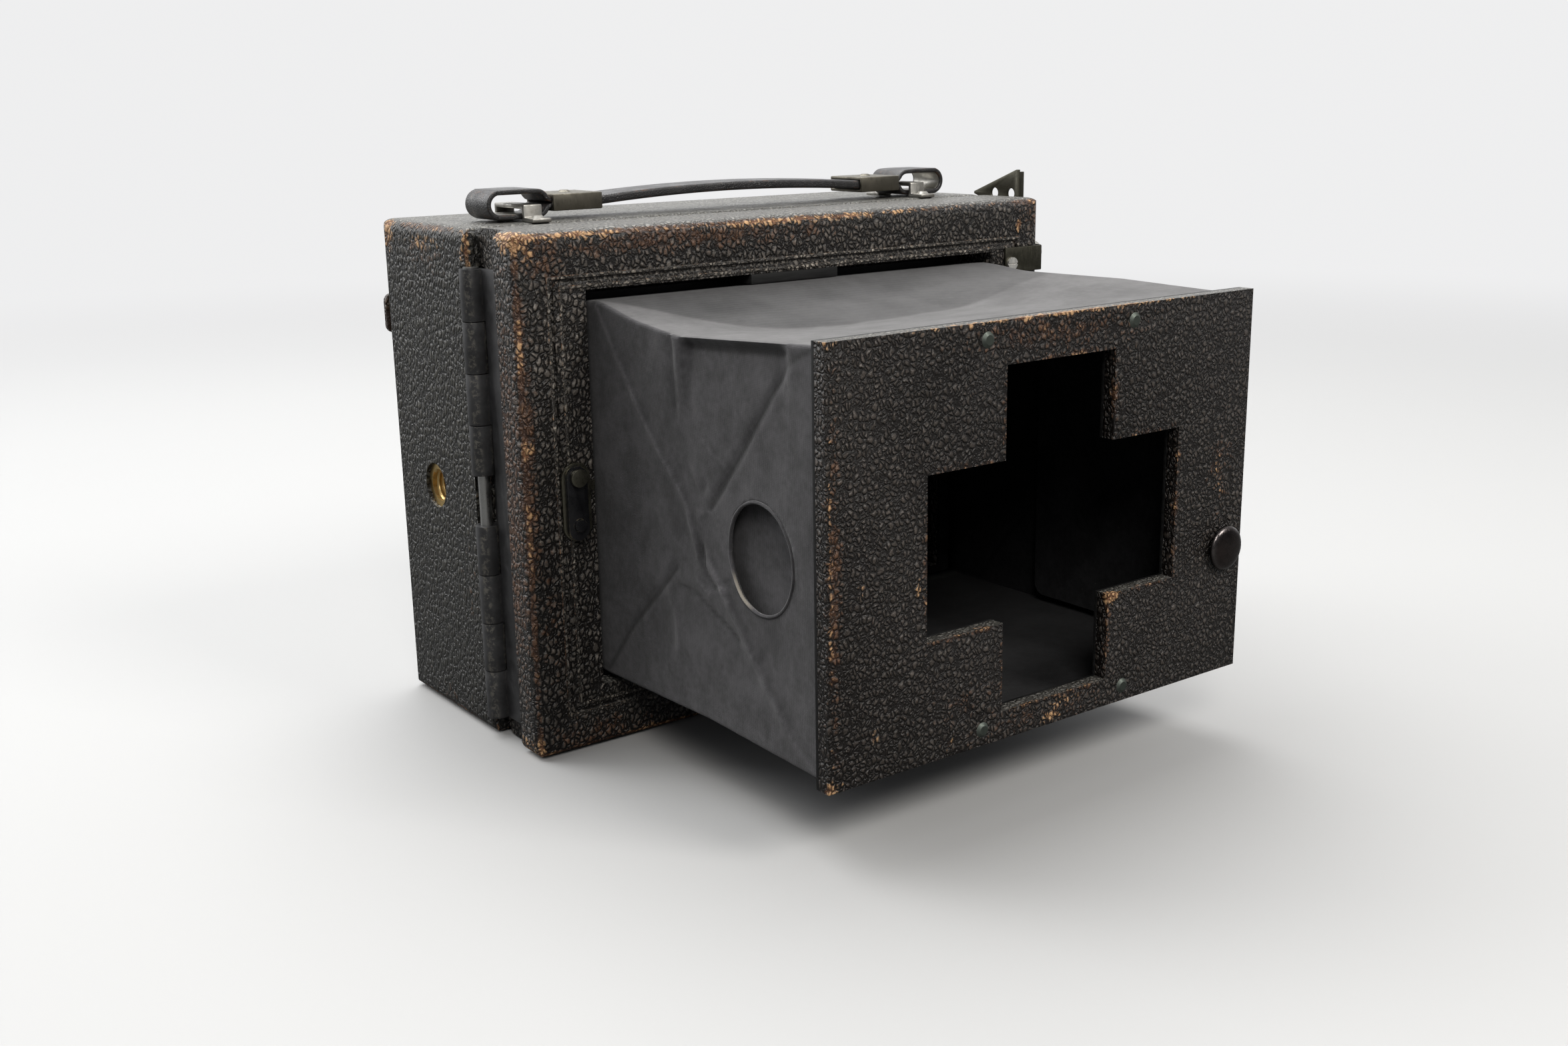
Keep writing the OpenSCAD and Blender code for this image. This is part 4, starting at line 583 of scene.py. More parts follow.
def around(steps):
    """The angles of this many steps round a circle."""
    return [2 * math.pi * k / steps for k in range(steps)]


def sweep(bm, path, ring, closed=False, side=Vector((0, 1, 0))):
    """Sweeps a closed ring of (across, out) points along a path; across runs along side."""
    rows = []
    n = len(path)
    for i, p in enumerate(path):
        a = path[(i - 1) % n] if closed or i > 0 else path[i]
        b = path[(i + 1) % n] if closed or i < n - 1 else path[i]
        out = (b - a).normalized().cross(side).normalized()
        rows.append([bm.verts.new(p + side * u + out * v) for u, v in ring])
    for i in range(n if closed else n - 1):
        strip(bm, rows[i], rows[(i + 1) % n])
    if not closed:
        bm.faces.new(rows[0])
        bm.faces.new(list(reversed(rows[-1])))


def band_ring(width, thick, r, steps=4):
    """A flat rectangle with round corners as (across, out) points, in metres from mm."""
    pts = []
    for cx, cy, start in ((1, 1, 0), (-1, 1, 90), (-1, -1, 180), (1, -1, 270)):
        for k in range(steps + 1):
            a = math.radians(start + 90 * k / steps)
            across = cx * (width / 2 - r) + r * math.cos(a)
            out = cy * (thick / 2 - r) + r * math.sin(a)
            pts.append((across * MM, out * MM))
    return pts


def round_ring(r, steps=8):
    """A circle as (across, out) points, in metres from mm."""
    return [(r * math.cos(a) * MM, r * math.sin(a) * MM) for a in around(steps)]


def lathe(bm, profile, centre, axis, steps=64):
    """Turns (radius, height) points in mm about axis through centre."""
    axis = Vector(axis).normalized()
    u = axis.orthogonal().normalized()
    w = axis.cross(u)
    rows = []
    for r, h in profile:
        middle = Vector(centre) + axis * h
        angles = around(1 if r < 1e-9 else steps)
        rows.append([bm.verts.new((middle + (u * math.cos(a) + w * math.sin(a)) * r) * MM)
                     for a in angles])
    for r0, r1 in zip(rows, rows[1:]):
        for k in range(steps):
            j = (k + 1) % steps
            if len(r0) == 1:
                bm.faces.new((r0[0], r1[k], r1[j]))
            elif len(r1) == 1:
                bm.faces.new((r0[k], r1[0], r0[j]))
            else:
                bm.faces.new((r0[k], r1[k], r1[j], r0[j]))


# Hard pieces that keep their CAD shape: node, piece, width of the rounding of its edges in mm

ROUNDED = [
    ("door_case", "back_case", 0.45), ("hood_board", "board", 0.45),
    ("board_backing", "board_lining", 0.2), ("staple_left", "left_staple", 0.3),
    ("staple_right", "right_staple", 0.3), ("handle_sleeves", "strap_sleeves", 0.3),
    ("sight_leaf", "sight_plate", 0.12), ("sight_base", "sight_foot", 0.12),
    ("catch_arm", "swing_arm", 0.25), ("catch_base", "swing_plate", 0.15),
    ("hood_top_clip", "top_tab", 0.3), ("door_hinge_leaf", "back_leaf", 0.2),
    ("box_hinge_leaf", "box_leaf", 0.2), ("front_trim", "bead", 0.3),
    ("front_board", "lens_board", 0.5), ("front_catch", "catch_bump", 0.5),
]
for node, piece, width in ROUNDED:
    skin(piece, node, width)

# Latch plate, in mm: lower than its solid, as in the photograph, and planed off at its bend

BACK_LOW, BACK_HIGH = box_mm("door_case")
LATCH_TRIM = 2.3
LATCH_ROUND = 0.2
BEND_LEFT = 0.35
BEND_NORMAL = Vector((0.8, -0.6, 0.0))


def build_latch_plate():
    top = Vector((0, 0, box_mm("latch_plate")[1].z - LATCH_TRIM))
    bend = Vector((BACK_HIGH.x, BACK_LOW.y, 0.0)) + BEND_LEFT * BEND_NORMAL
    cuts = [(top, (0, 0, 1)), (bend, BEND_NORMAL)]
    skin("side_latch", "latch_plate", LATCH_ROUND, cuts=cuts)


build_latch_plate()

# Hood: a soft bag whose sides fold in along the creases of the photograph

HOOD_LOW, HOOD_HIGH = box_mm("hood_cloth")
BOARD_LOW, BOARD_HIGH = box_mm("hood_board")
FACE_Y = BACK_LOW.y
END_Y = BOARD_HIGH.y + 0.9
CLAMP_Y = HOOD_HIGH.y
HOOD_LONG = FACE_Y - END_Y
HALF_W = HOOD_HIGH.x - 0.3
HALF_H = (HOOD_HIGH.z - HOOD_LOW.z) / 2 - 0.15
MID_Z = (HOOD_HIGH.z + HOOD_LOW.z) / 2
CLOTH_MM = 0.7
HOLE_R = 11.9
HOLE = Vector((-HALF_W, FACE_Y - 0.745 * HOOD_LONG, MID_Z - 2.4))
DIP_LEFT = 3.3
RISE_RIGHT = 0.8
VALLEY = 3.4
MOUTH_RISE = 1.3
BOTTOM_RISE = 0.9
SIDE_SINK = 1.7
SIDE_TUCK = 1.8
RINGS, SIDE_STEPS, TOP_STEPS = 104, 104, 96

# Folds of a side: points at shares of its length and height, height and width in mm, tone: painted
# highlight where positive, painted shade where negative
SIDE_FOLDS = [
    (((0.0, 1.0), (0.2, 0.76), (0.41, 0.56), (0.455, 0.43)), 0.55, 0.8, 0.9),
    (((0.5, 0.42), (0.63, 0.3), (0.76, 0.16), (0.88, 0.06), (1.0, 0.0)), 0.5, 1.3, 0.6),
    (((1.0, 1.0), (0.87, 0.95), (0.71, 0.77), (0.52, 0.57)), -0.5, 0.9, -0.8),
    (((0.0, 0.02), (0.13, 0.17), (0.29, 0.32), (0.35, 0.38)), -0.5, 0.8, -0.9),
    (((0.395, 1.0), (0.4, 0.92)), 0.3, 0.8, 0.45),
    (((0.375, 0.99), (0.38, 0.8)), -0.25, 0.9, -0.35),
    (((0.47, 0.46), (0.49, 0.39), (0.55, 0.35)), -0.5, 0.7, -0.8),
    (((0.45, 0.37), (0.5, 0.34), (0.58, 0.37)), 0.4, 0.6, 0.7),
    (((0.46, 0.54), (0.5, 0.56), (0.55, 0.55)), 0.3, 0.6, 0.5),
    (((0.5, 0.45), (0.53, 0.4), (0.6, 0.33)), 0.35, 0.6, 0.5),
    (((0.36, 0.34), (0.45, 0.33), (0.52, 0.3), (0.64, 0.25)), -0.4, 0.7, -0.8),
    (((0.31, 0.31), (0.35, 0.25), (0.36, 0.16)), 0.3, 1.0, 0.4),
    (((0.52, 0.35), (0.56, 0.38), (0.61, 0.4)), -0.3, 0.6, -0.6),
    (((0.5, 0.74), (0.54, 0.71), (0.6, 0.69)), 0.3, 1.0, 0.4),
    (((0.42, 0.66), (0.46, 0.6), (0.5, 0.62)), -0.3, 0.8, -0.4),
]
# The valley across the top: share of the width, share of the length
VALLEY_LINE = ((0.0, 0.0), (0.06, 0.08), (0.15, 0.19), (0.21, 0.29), (0.3, 0.36), (0.4, 0.405),
               (0.52, 0.42), (0.7, 0.4), (0.9, 0.34), (1.0, 0.3))


def clamp(value, low=0.0, high=1.0):
    return max(low, min(high, value))


def smooth(value):
    value = clamp(value)
    return value * value * (3 - 2 * value)


def tent(x, peak):
    return clamp(x / peak if x < peak else (1 - x) / (1 - peak))


def bell(distance, width):
    return math.exp(-(distance / width) ** 2)


def wrinkle(p, size, depth):
    q = Vector(p) / size
    return depth * (noise.noise(q) + 0.5 * noise.noise(q * 2.1 + Vector((7, 3, 1))))


def along(x, points):
    """The second value of a line through points, at x."""
    for (x0, y0), (x1, y1) in zip(points, points[1:]):
        if x <= x1:
            return y0 + (y1 - y0) * clamp((x - x0) / (x1 - x0))
    return points[-1][1]


def distance_to(p, points):
    """The distance in mm from a point at shares (u, v) of a side to a line of such points."""
    best = 1e9
    scale = Vector((HOOD_LONG, 2 * HALF_H))
    at = Vector(p) * scale
    for a, b in zip(points, points[1:]):
        a, b = Vector(a) * scale, Vector(b) * scale
        t = clamp((at - a).dot(b - a) / (b - a).length_squared)
        best = min(best, (at - a - (b - a) * t).length)
    return best


def top_dip(s, u):
    """How far the top lies below its frame at share s of the width and u of the length."""
    edge = DIP_LEFT * tent(u, 0.4) * (1 - s) - RISE_RIGHT * tent(u, 0.6) * s
    fold = max(0.02, along(s, VALLEY_LINE))
    deep = VALLEY * smooth(s / 0.3) * smooth((1 - s) / 0.35)
    return edge + deep * tent(u, fold)


def rear_lift(u, y):
    """How far the cloth's top rises towards the mouth of the recess."""
    inside = clamp((CLAMP_Y - y) / (CLAMP_Y - FACE_Y))
    return MOUTH_RISE * inside * (1 - smooth(u / 0.22))


def side_point(u, y, v, s):
    """A point of a side (s is -1 at the left, 1 at the right) and its tone of painted light or
    shade.
    """
    zl = MID_Z - HALF_H + BOTTOM_RISE * tent(u, 0.5)
    zh = MID_Z + HALF_H + rear_lift(u, y) - top_dip(0.0 if s < 0 else 1.0, u)
    z = zl + (zh - zl) * v
    rim = 1 - max(abs(2 * u - 1), abs(2 * v - 1))
    fold_in = SIDE_SINK * clamp(rim) ** 0.85
    free = clamp(6 * min(u, 1 - u) + 0.02)
    bump_out, tone = 0.0, 0.0
    # Each fold raises or sinks the cloth; its tone paints a highlight on a ridge or shade in a
    # crease
    for points, height, width, shade in SIDE_FOLDS:
        d = distance_to((u, v), points)
        bump_out += height * bell(d, width)
        tone += shade * bell(d, 0.9 * width)
    reach = 1.0 if s < 0 else 0.4
    tuck = smooth((u - 0.41) / 0.05) * smooth((0.9 - u) / 0.06) * reach
    under = SIDE_TUCK * tuck * smooth((1 - v) / 0.02) * math.exp(min(0.0, v - 0.98) * 14)
    # Painted shadow under the top's overhanging edge
    tone -= 1.5 * tuck * bell((v - 0.982) * 2 * HALF_H, 1.2)
    w = wrinkle((s * 60, y, z), 4.5, 0.14) + wrinkle((s * 50, y, z), 13, 0.28)
    inward = fold_in + (w + 0.3 - bump_out) * free + under
    return Vector((s * (HALF_W - clamp(inward, -0.3, 2.6)), y, z)), tone


def top_point(u, y, v, top):
    """A point of the top or bottom and its tone of painted shade."""
    x = HALF_W * (2 * v - 1)
    span = smooth(7 * min(v, 1 - v))
    free = clamp(6 * min(u, 1 - u) + 0.02) * span
    w = wrinkle((x, y, 30), 14, 0.22) + wrinkle((x, y, 60), 34, 0.4)
    if top:
        z = MID_Z + HALF_H + rear_lift(u, y) - top_dip(v, u) - (w + 0.2) * free
        # The top behind the valley is darkened: painted shade
        behind = smooth((along(v, VALLEY_LINE) - u) / 0.03 + 0.5)
        return Vector((x, y, z)), -0.62 * behind * (1 - 0.25 * v)
    return Vector((x, y, MID_Z - HALF_H + BOTTOM_RISE * tent(u, 0.5) + (w + 0.2) * free)), 0.0


def cloth_ring(u, y):
    """One ring of the bag: up the left, over the top, down the right and back below."""
    ring = [side_point(u, y, k / SIDE_STEPS, -1) for k in range(SIDE_STEPS)]
    ring += [top_point(u, y, k / TOP_STEPS, True) for k in range(TOP_STEPS)]
    ring += [side_point(u, y, 1 - k / SIDE_STEPS, 1) for k in range(SIDE_STEPS)]
    ring += [top_point(u, y, 1 - k / TOP_STEPS, False) for k in range(TOP_STEPS)]
    n = len(ring)
    return [(p * 0.5 + (ring[i - 1][0] + ring[(i + 1) % n][0]) * 0.25, tone)
            for i, (p, tone) in enumerate(ring)]


def follow_hood(obj):
    """Gives the piece its own copy of its mesh."""
    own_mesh(obj)


def bag_rows(bm):
    """The rings of the bag as rows of vertices, with the painted light or shade of each in the
    attribute fold.
    """
    layer = bm.verts.layers.float.new("fold")
    stations = [(0.0, CLAMP_Y), (0.0, (CLAMP_Y + FACE_Y) / 2)]
    stations += [(i / RINGS, FACE_Y - HOOD_LONG * i / RINGS) for i in range(RINGS + 1)]
    rows = []
    for u, y in stations:
        row = []
        for p, tone in cloth_ring(u, y):
            vert = bm.verts.new(p * MM)
            vert[layer] = tone
            row.append(vert)
        rows.append(row)
    return rows


def in_hole(p):
    return p.x < -HALF_W / 2 and math.hypot(p.y - HOLE.y, p.z - HOLE.z) < HOLE_R


def round_hole(bm):
    """Moves the ragged edge of the finger hole onto its circle."""
    for v in bm.verts:
        away = Vector((0, v.co.y / MM - HOLE.y, v.co.z / MM - HOLE.z))
        if v.is_boundary and v.co.x < 0 and away.length < HOLE_R + 3:
            rim = HOLE + away.normalized() * HOLE_R
            v.co.y, v.co.z = rim.y * MM, rim.z * MM


def thicken(obj, thick_mm, offset):
    solid = obj.modifiers.new("thickness", "SOLIDIFY")
    solid.thickness = thick_mm * MM
    solid.offset = offset
    return solid


def build_hood():
    bm = bmesh.new()
    rows = bag_rows(bm)
    n = len(rows[0])
    for r0, r1 in zip(rows, rows[1:]):
        for k in range(n):
            quad = (r0[k], r0[(k + 1) % n], r1[(k + 1) % n], r1[k])
            if not in_hole(sum((v.co for v in quad), Vector()) / 4 / MM):
                bm.faces.new(quad)
    bmesh.ops.delete(bm, geom=[v for v in bm.verts if not v.link_faces], context="VERTS")
    round_hole(bm)
    area = sum(f.calc_area() for f in bm.faces)
    obj = make("hood_bag", bm, "cloth", node="hood_cloth", smooth_deg=70)
    # The inner face of the hood gets the near-black cloth: painted shade
    obj.data.materials.append(MATERIALS["blind"])
    face = obj.data.polygons[0]
    outward = face.normal.dot(face.center - Vector((0, face.center.y, MID_Z * MM))) >= 0
    thicken(obj, CLOTH_MM, -1.0 if outward else 1.0).material_offset = 1
    follow_hood(obj)


# The finger hole's binding: its radius in mm, and where and how widely it is rubbed, in degrees
BINDING = 0.38
RUBBED_AT, RUBBED_WIDE = 310, 42


def build_hole_edge():
    bm = bmesh.new()
    pts = []
    for a in around(96):
        y, z = HOLE.y + HOLE_R * math.cos(a), HOLE.z + HOLE_R * math.sin(a)
        at, _ = side_point((FACE_Y - y) / HOOD_LONG, y, (z - MID_Z + HALF_H) / (2 * HALF_H), -1)
        pts.append(Vector((at.x, y, z)) * MM)
    sweep(bm, pts, round_ring(BINDING), closed=True, side=Vector((1, 0, 0)))
    layer = bm.verts.layers.float.new("fold")
    for v in bm.verts:
        a = math.degrees(math.atan2(v.co.z / MM - HOLE.z, v.co.y / MM - HOLE.y)) % 360
        v[layer] = 2.1 * bell(a - RUBBED_AT, RUBBED_WIDE)
    follow_hood(make("hole_edge", bm, "cloth", body="back_door", slot="cloth", smooth_deg=80))


# The flaps in mm: how far their ends lie inside their solids', and the hem round their faces
FLAP_UP, FLAP_DOWN = 1.5, 4.5
FLAP_CORNER, FLAP_THICK, FLAP_HEM = 3.0, 1.1, 0.12
FACE_SHARE = 0.985


def build_flap(name, node):
    """A stiff cloth flap with a round hem, lower at the top to clear the hood's dip."""
    low, high = box_mm(node)
    low.z, high.z = low.z + FLAP_UP, high.z - FLAP_DOWN
    ring = band_ring(high.y - low.y, high.z - low.z, FLAP_CORNER, 6)
    mid = (low + high) / 2
    bm = bmesh.new()
    faces = []
    for side in (-1, 1):
        x = mid.x + side * FLAP_THICK / 2
        hem, face = ([bm.verts.new((x * MM, mid.y * MM + a * k, mid.z * MM + b * k))
                      for a, b in ring] for k in (1.0, FACE_SHARE))
        for v in face:
            v.co.x -= side * FLAP_HEM * MM
        strip(bm, hem, face)
        bm.faces.new(face)
        faces.append(hem)
    strip(bm, *faces)
    make(name, bm, LOOK[node], node=node, smooth_deg=40)


def block(bm, low, high, round_mm):
    """A block with rounded edges between two corners in mm."""
    size, mid = (high - low) * MM, (high + low) / 2 * MM
    place = Matrix.Translation(mid) @ Matrix.Diagonal((*size, 1))
    cube = bmesh.ops.create_cube(bm, size=1.0, matrix=place)
    edges = list(dict.fromkeys(e for v in cube["verts"] for e in v.link_edges))
    bmesh.ops.bevel(bm, geom=edges, offset=round_mm * MM, segments=ROUND_STEPS, profile=0.5,
                    affect="EDGES")


def build_brackets():
    """The lugs that carry the flaps, each with its stud, moved with the ends of the flaps."""
    low, high = box_mm("flap_brackets")
    flap_low, flap_high = box_mm("right_flap")
    x, y = (flap_low.x + flap_high.x) / 2, high.y - 1.4
    ends = ((flap_low.z + FLAP_UP, -1), (flap_high.z - FLAP_DOWN, 1))
    bm = bmesh.new()
    for s in (-1, 1):
        for z, up in ends:
            near, far = sorted((z + 0.3 * up, z + 1.3 * up))
            block(bm, Vector((s * x - 1.1, low.y, near)), Vector((s * x + 1.1, high.y, far)), 0.2)
            stud = [(0, 0), (0.6, 0), (0.6, 1.0), (0.5, 1.1), (0, 1.1)]
            lathe(bm, stud, (s * x, y, z + 0.3 * up), (0, 0, -up), 16)
    make("flap_lugs", bm, LOOK["flap_brackets"], node="flap_brackets")


build_hood()
build_hole_edge()
build_brackets()
build_flap("flap_left", "left_flap")
build_flap("flap_right", "right_flap")

# Bellows between the box and the lens board, with sizes in mm

FOLDS, FOLD_DEEP = 9, 4.0
OUTER_CORNER, INNER_CORNER = 3.0, 5.5
BELLOWS_THICK = 0.35


def build_bellows():
    low, high = box_mm("bellows")
    mid = (low + high) / 2
    last = 2 * FOLDS
    rows = []
    bm = bmesh.new()
    for i in range(last + 1):
        inset, c = (FOLD_DEEP, INNER_CORNER) if i % 2 else (0.0, OUTER_CORNER)
        if i in (0, last):
            inset = FOLD_DEEP / 2
        y = low.y + (high.y - low.y) * i / last
        w, h = high.x - inset, (high.z - low.z) / 2 - inset
        ring = [(-w + c, -h), (w - c, -h), (w, -h + c), (w, h - c)]
        ring += [(-x, -z) for x, z in ring]
        row = []
        for (a, b), (a2, b2) in zip(ring, ring[1:] + ring[:1]):
            for k in range(4):
                p = Vector((a + (a2 - a) * k / 4, y, mid.z + b + (b2 - b) * k / 4))
                row.append(bm.verts.new(p * MM))
        rows.append(row)
    for r0, r1 in zip(rows, rows[1:]):
        strip(bm, r0, r1)
    obj = make("bellows_bag", bm, "bellows", slot="strap", smooth_deg=25)
    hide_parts("bellows")
    thicken(obj, BELLOWS_THICK, 0)
    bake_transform(obj)


build_bellows()

# Carrying strap, its loops and their metal lining

STRAP_LOW, STRAP_HIGH = box_mm("handle_strap")
LOOP_LOW, LOOP_HIGH = box_mm("handle_loop_right")
STRAP_Y = (STRAP_LOW.y + STRAP_HIGH.y) / 2
STRAP_W = STRAP_HIGH.y - STRAP_LOW.y - 0.2
LOOP_MID = (LOOP_LOW.z + LOOP_HIGH.z) / 2
BAND = LOOP_MID - STRAP_LOW.z
SLEEVE_OUT = box_mm("handle_sleeves")[1].x
SLEEVE_IN = 2 * STRAP_HIGH.x - SLEEVE_OUT
BOW = STRAP_HIGH.z - LOOP_MID - BAND
LOOP_R = LOOP_HIGH.z - LOOP_MID - BAND / 2
LINER_R = LOOP_R - BAND / 2 + 0.08


def curve_path(points, steps):
    """A smooth path through (x, z) points in mm."""
    out = []
    for i in range(len(points) - 1):
        p0, p3 = Vector(points[max(i - 1, 0)]), Vector(points[min(i + 2, len(points) - 1)])
        p1, p2 = Vector(points[i]), Vector(points[i + 1])
        for k in range(steps):
            t = k / steps
            q = 0.5 * ((2 * p1) + (p2 - p0) * t + (2 * p0 - 5 * p1 + 4 * p2 - p3) * t * t
                       + (3 * p1 - p0 - 3 * p2 + p3) * t ** 3)
            out.append(Vector((q.x, STRAP_Y, q.y)) * MM)
    x, z = points[-1]
    out.append(Vector((x, STRAP_Y, z)) * MM)
    return out


def loop_points(r, start):
    """Out along the top of a loop, round its end and back below: (x, z) from the strap's middle."""
    end_x = LOOP_HIGH.x - (LOOP_HIGH.z - LOOP_MID)
    turn = [math.radians(a) for a in range(0, 181, 15)]
    bend = [(end_x + r * math.sin(a), r * math.cos(a)) for a in turn]
    return start + bend + [(x, -z) for x, z in reversed(start)]


def build_strap():
    bm = bmesh.new()
    path = []
    for i in range(61):
        x = (STRAP_HIGH.x - 0.5) * (i / 30 - 1)
        bow = BOW * (1 - (x / SLEEVE_IN) ** 2) if abs(x) < SLEEVE_IN else 0.0
        path.append(Vector((x, STRAP_Y, LOOP_MID + bow)) * MM)
    sweep(bm, path, band_ring(STRAP_W, 2 * BAND - 0.15, 0.7))
    make("strap", bm, "strap", node="handle_strap", smooth_deg=50)


def loop_mesh(side, points, ring):
    bm = bmesh.new()
    sweep(bm, curve_path([(side * x, LOOP_MID + z) for x, z in points], 4), ring)
    return bm


def build_loop(side, tag):
    """The leather band of a loop and the metal lining inside it."""
    band = loop_points(LOOP_R, [(STRAP_HIGH.x + 0.4, BAND / 2), (SLEEVE_OUT, BAND / 2 + 0.05),
                                (SLEEVE_OUT + 2, 0.8 * LOOP_R), (SLEEVE_OUT + 4.5, LOOP_R)])
    bm = loop_mesh(side, band, band_ring(STRAP_W, BAND - 0.04, 0.4))
    make("loop_band_" + tag, bm, "strap", node="handle_loop_" + tag, smooth_deg=50)
    liner = loop_points(LINER_R, [(SLEEVE_OUT + 4.6, LINER_R), (SLEEVE_OUT + 5.2, LINER_R)])
    bm = loop_mesh(side, liner, band_ring(STRAP_W - 1.2, 0.2, 0.08))
    make("loop_liner_" + tag, bm, "nickel", body="handle", slot="nickel", smooth_deg=50)


build_strap()
build_loop(-1, "left")
build_loop(1, "right")

# Turned pieces: the board's knob and the screw threads of the tripod bushes


def build_knob():
    low, high = box_mm("board_knob")
    r = (high.x - low.x) / 2
    tall = BOARD_LOW.y - low.y
    shaft = BOARD_LOW.y - high.y
    foot = [(0, shaft), (1.6, shaft), (1.6, 0.3)]
    foot += [(0.8 * r, 0.3), (0.86 * r, 0.6), (0.97 * r, 0.9), (r, 1.15)]
    rim = [(r, -1.3), (0.97 * r, -1.0), (0.9 * r, -0.72)]
    dome = [(0.78 * r, -0.44), (0.62 * r, -0.25), (0.42 * r, -0.1), (0.2 * r, -0.02), (0, 0)]
    profile = foot + [(a, tall + h) for a, h in rim + dome]
    bm = bmesh.new()
    lathe(bm, profile, ((low.x + high.x) / 2, BOARD_LOW.y, (low.z + high.z) / 2), (0, -1, 0))
    make("turn_knob_head", bm, "knob", node="board_knob", smooth_deg=50)


THREAD_R, THREAD_DEEP, PITCH, THREAD_END = 4.0, 0.5, 1.25, 0.45
SIDE_LONG, BASE_LONG = 4.2, 5.2


def build_thread(name, start, axis, length):
    """The ridge of a screw thread inside a bush, as a helix with a pointed section."""
    axis = Vector(axis)
    u = axis.orthogonal().normalized()
    w = axis.cross(u)
    tip = THREAD_R - THREAD_DEEP
    section = ((THREAD_R, -0.42), (tip, -0.06), (tip, 0.06), (THREAD_R, 0.42))
    per_turn = 40
    bm = bmesh.new()
    rows = []
    for i in range(int((length - 2 * THREAD_END) / PITCH * per_turn) + 1):
        a = 2 * math.pi * i / per_turn
        h = THREAD_END + PITCH * i / per_turn
        d = u * math.cos(a) + w * math.sin(a)
        rows.append([bm.verts.new((Vector(start) + d * r + axis * (h + o)) * MM)
                     for r, o in section])
    for r0, r1 in zip(rows, rows[1:]):
        strip(bm, r0, r1, closed=False)
    bm.faces.new(rows[0])
    bm.faces.new(list(reversed(rows[-1])))
    make(name, bm, "brass", body="camera_body", slot="brass", smooth_deg=60)


build_knob()
build_thread("side_thread", spot("side_tripod_bush", (0.0, 0.5, 0.5)), (1, 0, 0), SIDE_LONG)
build_thread("base_thread", (0, 0, box_mm("base_tripod_bush")[0].z), (0, 0, 1), BASE_LONG)

# Lips: the leather raised on both sides of the line pressed round the recess


def groove_ends():
    """The outer and inner edges of the pressed line along x and z, in mm, read from the back."""
    points = [v.co / MM for v in nodes["door_case"].data.vertices]
    widest, rim, line = 0.46 * (BACK_HIGH.x - BACK_LOW.x), 6, 1.5
    floor = [p for p in points if 0.3 < p.y - FACE_Y < 0.7 and abs(p.x) < widest]
    high = [p.z for p in floor if BACK_LOW.z + rim < p.z < BACK_HIGH.z - rim]
    half = [abs(p.x) for p in floor if BACK_LOW.z + rim < p.z < BACK_HIGH.z - rim]
    across = (max(half), min(h for h in half if h > 0.8 * max(half)))
    top = (max(high), min(z for z in high if z > max(high) - line))
    low = (min(high), max(z for z in high if z < min(high) + line))
    return across, top, low


def build_lips():
    across, top, low = groove_ends()
    wide, tall, sunk = 0.9, 0.25, 0.1
    ring = [(-wide / 2, -sunk), (-wide / 3, 0.8 * tall), (0, tall)]
    ring += [(wide / 3, 0.8 * tall), (wide / 2, -sunk)]
    ring = [(a * MM, b * MM) for a, b in ring]
    for tag, k, off in (("outer", 0, wide / 2), ("inner", 1, -wide / 2)):
        half, high, deep = across[k] + off, top[k] + off, low[k] - off
        bm = bmesh.new()
        rows = []
        for x, z in ((-half, deep), (half, deep), (half, high), (-half, high)):
            corner = Vector((x, FACE_Y, z)) * MM
            out = Vector((math.copysign(1, x), 0, 1 if z > MID_Z else -1))
            rows.append([bm.verts.new(corner + out * a + Vector((0, -1, 0)) * b) for a, b in ring])
        for row, after in zip(rows, rows[1:] + rows[:1]):
            strip(bm, row, after, closed=False)
        make("lip_" + tag, bm, "lip", body="back_door", slot=SLOT["door_case"], smooth_deg=60)


build_lips()

# Floor and world: the camera sees a pale floor that fades into a plain pale background

BACKDROP = (0.86, 0.86, 0.865)
FLOOR_LIT = ((0.085, 0.086, 0.085), (0.095, 0.096, 0.094))
FLOOR_SEEN = ((0.47, 0.472, 0.47), (0.49, 0.492, 0.488))
FLOOR_ROUGH, FLOOR_SHINE = 0.6, 0.2
FADE_NEAR, FADE_FAR = 0.35, 1.1
FLOOR_HALF, FLOOR_Z = 6.0, -0.0002
WORLD_DIM, WORLD_BRIGHT = (0.15, 0.152, 0.16), (1.0, 1.0, 1.01)


def pale_floor(name):
    """It sends less light back to the object than the camera sees on it."""
    t = Material(name)
    t.set(color=t.mix(t.noise(3, 3), *FLOOR_LIT), rough=FLOOR_ROUGH, spec=FLOOR_SHINE)
    near = t.node("BsdfPrincipled", {"Base Color": t.mix(t.noise(3, 3), *FLOOR_SEEN),
                                     "Roughness": FLOOR_ROUGH, "Specular IOR Level": FLOOR_SHINE})
    glow = t.node("Emission", {"Color": BACKDROP})
    far = t.step(t.vec("LENGTH", t.co, out=1), FADE_NEAR, FADE_FAR)
    seen = t.node("MixShader", {0: far, 1: near.outputs[0], 2: glow.outputs[0]}).outputs[0]
    t.put(t.for_camera(seen, t.bsdf.outputs[0]), t.out)
    return t.mat


def build_floor():
    bm = bmesh.new()
    corners = ((-1, -1), (1, -1), (1, 1), (-1, 1))
    bm.faces.new([bm.verts.new((x * FLOOR_HALF, y * FLOOR_HALF, FLOOR_Z)) for x, y in corners])
    floor = mesh_object("floor", bm, pale_floor("floor_pale"))


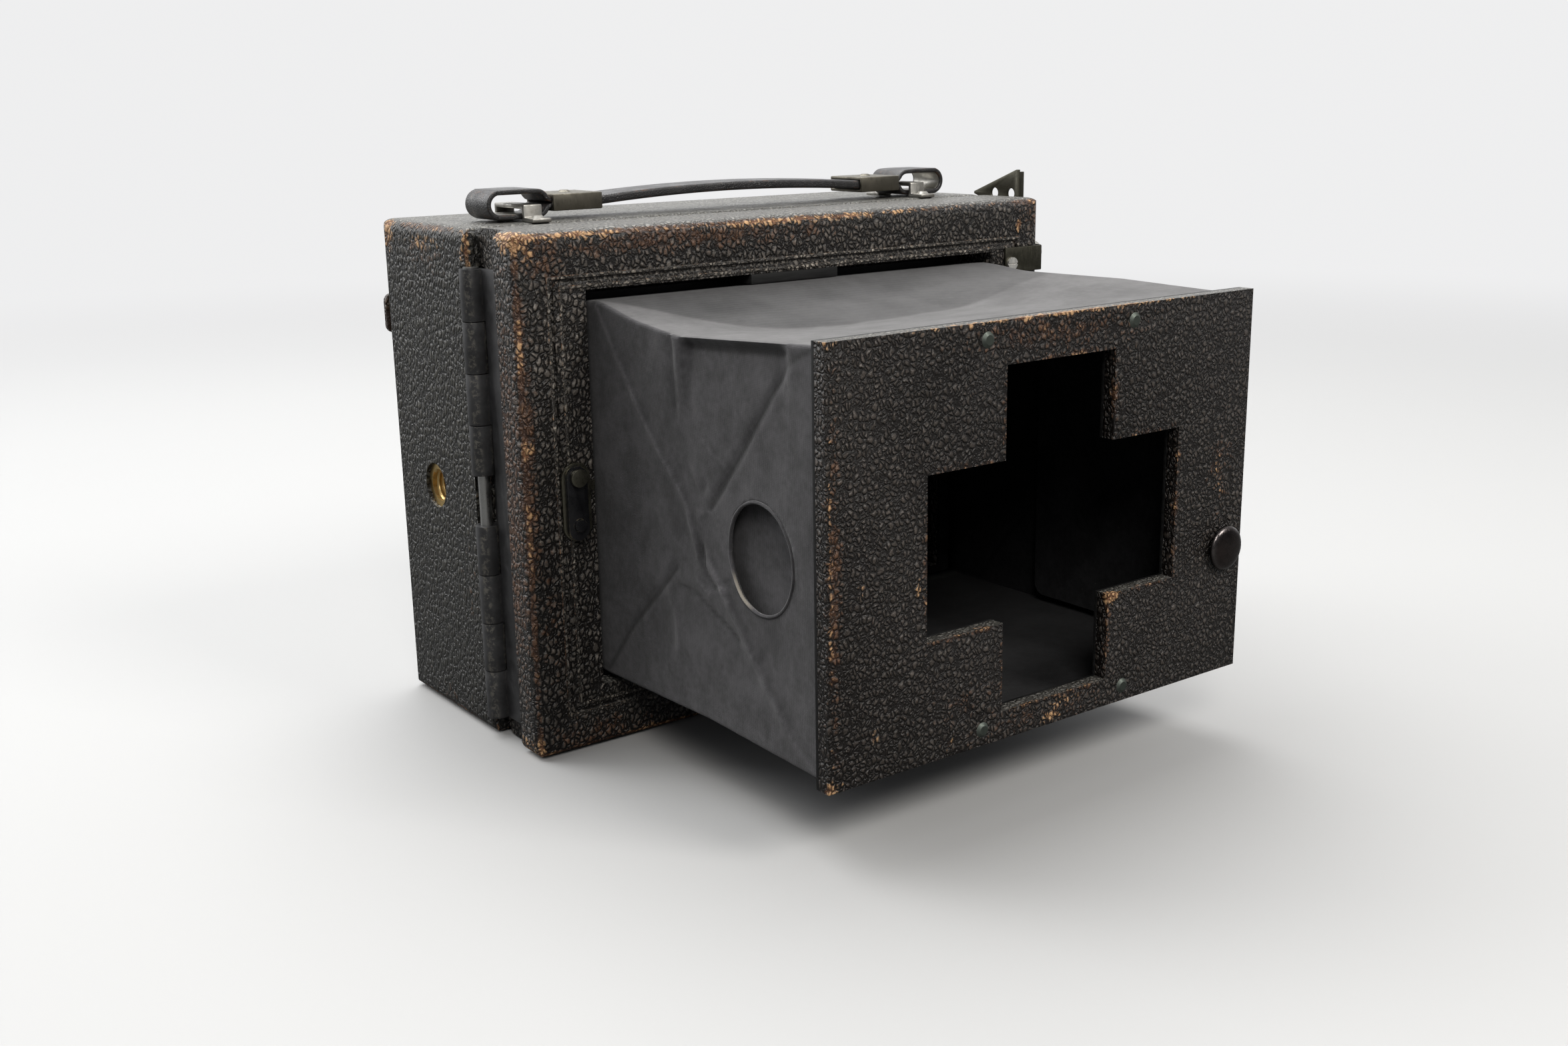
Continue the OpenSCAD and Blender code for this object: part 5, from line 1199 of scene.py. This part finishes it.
def build_world():
    """Light from all round: bright behind the camera body and to its right, dim in front."""
    world = bpy.data.worlds.new("studio")
    bpy.context.scene.world = world
    t = Tree(world, "Generated")
    place = t.add(t.mul(t.part(t.co, 0), 0.35), t.part(t.co, 1))
    light = t.mix(t.step(place, -0.35, 0.7), WORLD_DIM, WORLD_BRIGHT)
    seen, lit = (t.node("Background", {"Color": color}).outputs[0] for color in (BACKDROP, light))
    t.put(t.for_camera(seen, lit), t.node("OutputWorld").inputs[0])


build_floor()
build_world()

# Soft lamps, all aimed at the middle of the camera: place, size, watts and colour

AIM = Vector((0, -0.05, 0.06))
WHITE, WARM = (1, 1, 1), (1.0, 0.97, 0.93)
LAMPS = {
    "overhead": ((0.0, 0.35, 1.05), (1.2, 0.9), 14, WHITE),
    "back_left": ((-0.7, 1.0, 0.75), (0.8, 0.6), 6.5, WHITE),
    "left_front": ((-0.6, -1.0, 1.0), (0.5, 0.5), 7.5, WARM),
    "right_front": ((0.45, -1.15, 1.0), (0.5, 0.5), 10.8, WARM),
}


def build_lamp(name, at, size, power, color):
    data = bpy.data.lights.new(name, "AREA")
    data.shape = "RECTANGLE"
    data.size, data.size_y = size
    data.energy = power
    data.color = color
    obj = link(name, data)
    obj.location = at
    obj.rotation_mode = "QUATERNION"
    obj.rotation_quaternion = (AIM - Vector(at)).to_track_quat("-Z", "Y")


for name, settings in LAMPS.items():
    build_lamp(name, *settings)

# Camera: where the photograph was taken from, worked out from the box's corners in it

PHOTO_W, FOCAL_PX, SENSOR = 2350, 2460.1, 36
CAMERA_AT = (-0.2465, -0.3700, 0.1508)
YAW, PITCH, ROLL = (math.radians(a) for a in (-36.324, -14.583, -0.976))


def build_camera():
    data = bpy.data.cameras.new("camera")
    data.sensor_width = SENSOR
    data.lens = FOCAL_PX / PHOTO_W * SENSOR
    data.clip_start, data.clip_end = 0.01, 20
    camera = link("camera", data)
    level = math.cos(PITCH)
    right = Vector((math.cos(YAW), math.sin(YAW), 0))
    forward = Vector((-math.sin(YAW) * level, math.cos(YAW) * level, math.sin(PITCH)))
    up = right.cross(forward)
    across = math.cos(ROLL) * right + math.sin(ROLL) * up
    upward = -math.sin(ROLL) * right + math.cos(ROLL) * up
    turn = Matrix((across, upward, -forward)).transposed().to_4x4()
    camera.matrix_world = Matrix.Translation(CAMERA_AT) @ turn
    bpy.context.scene.camera = camera


build_camera()
bpy.context.scene.view_settings.view_transform = "Standard"
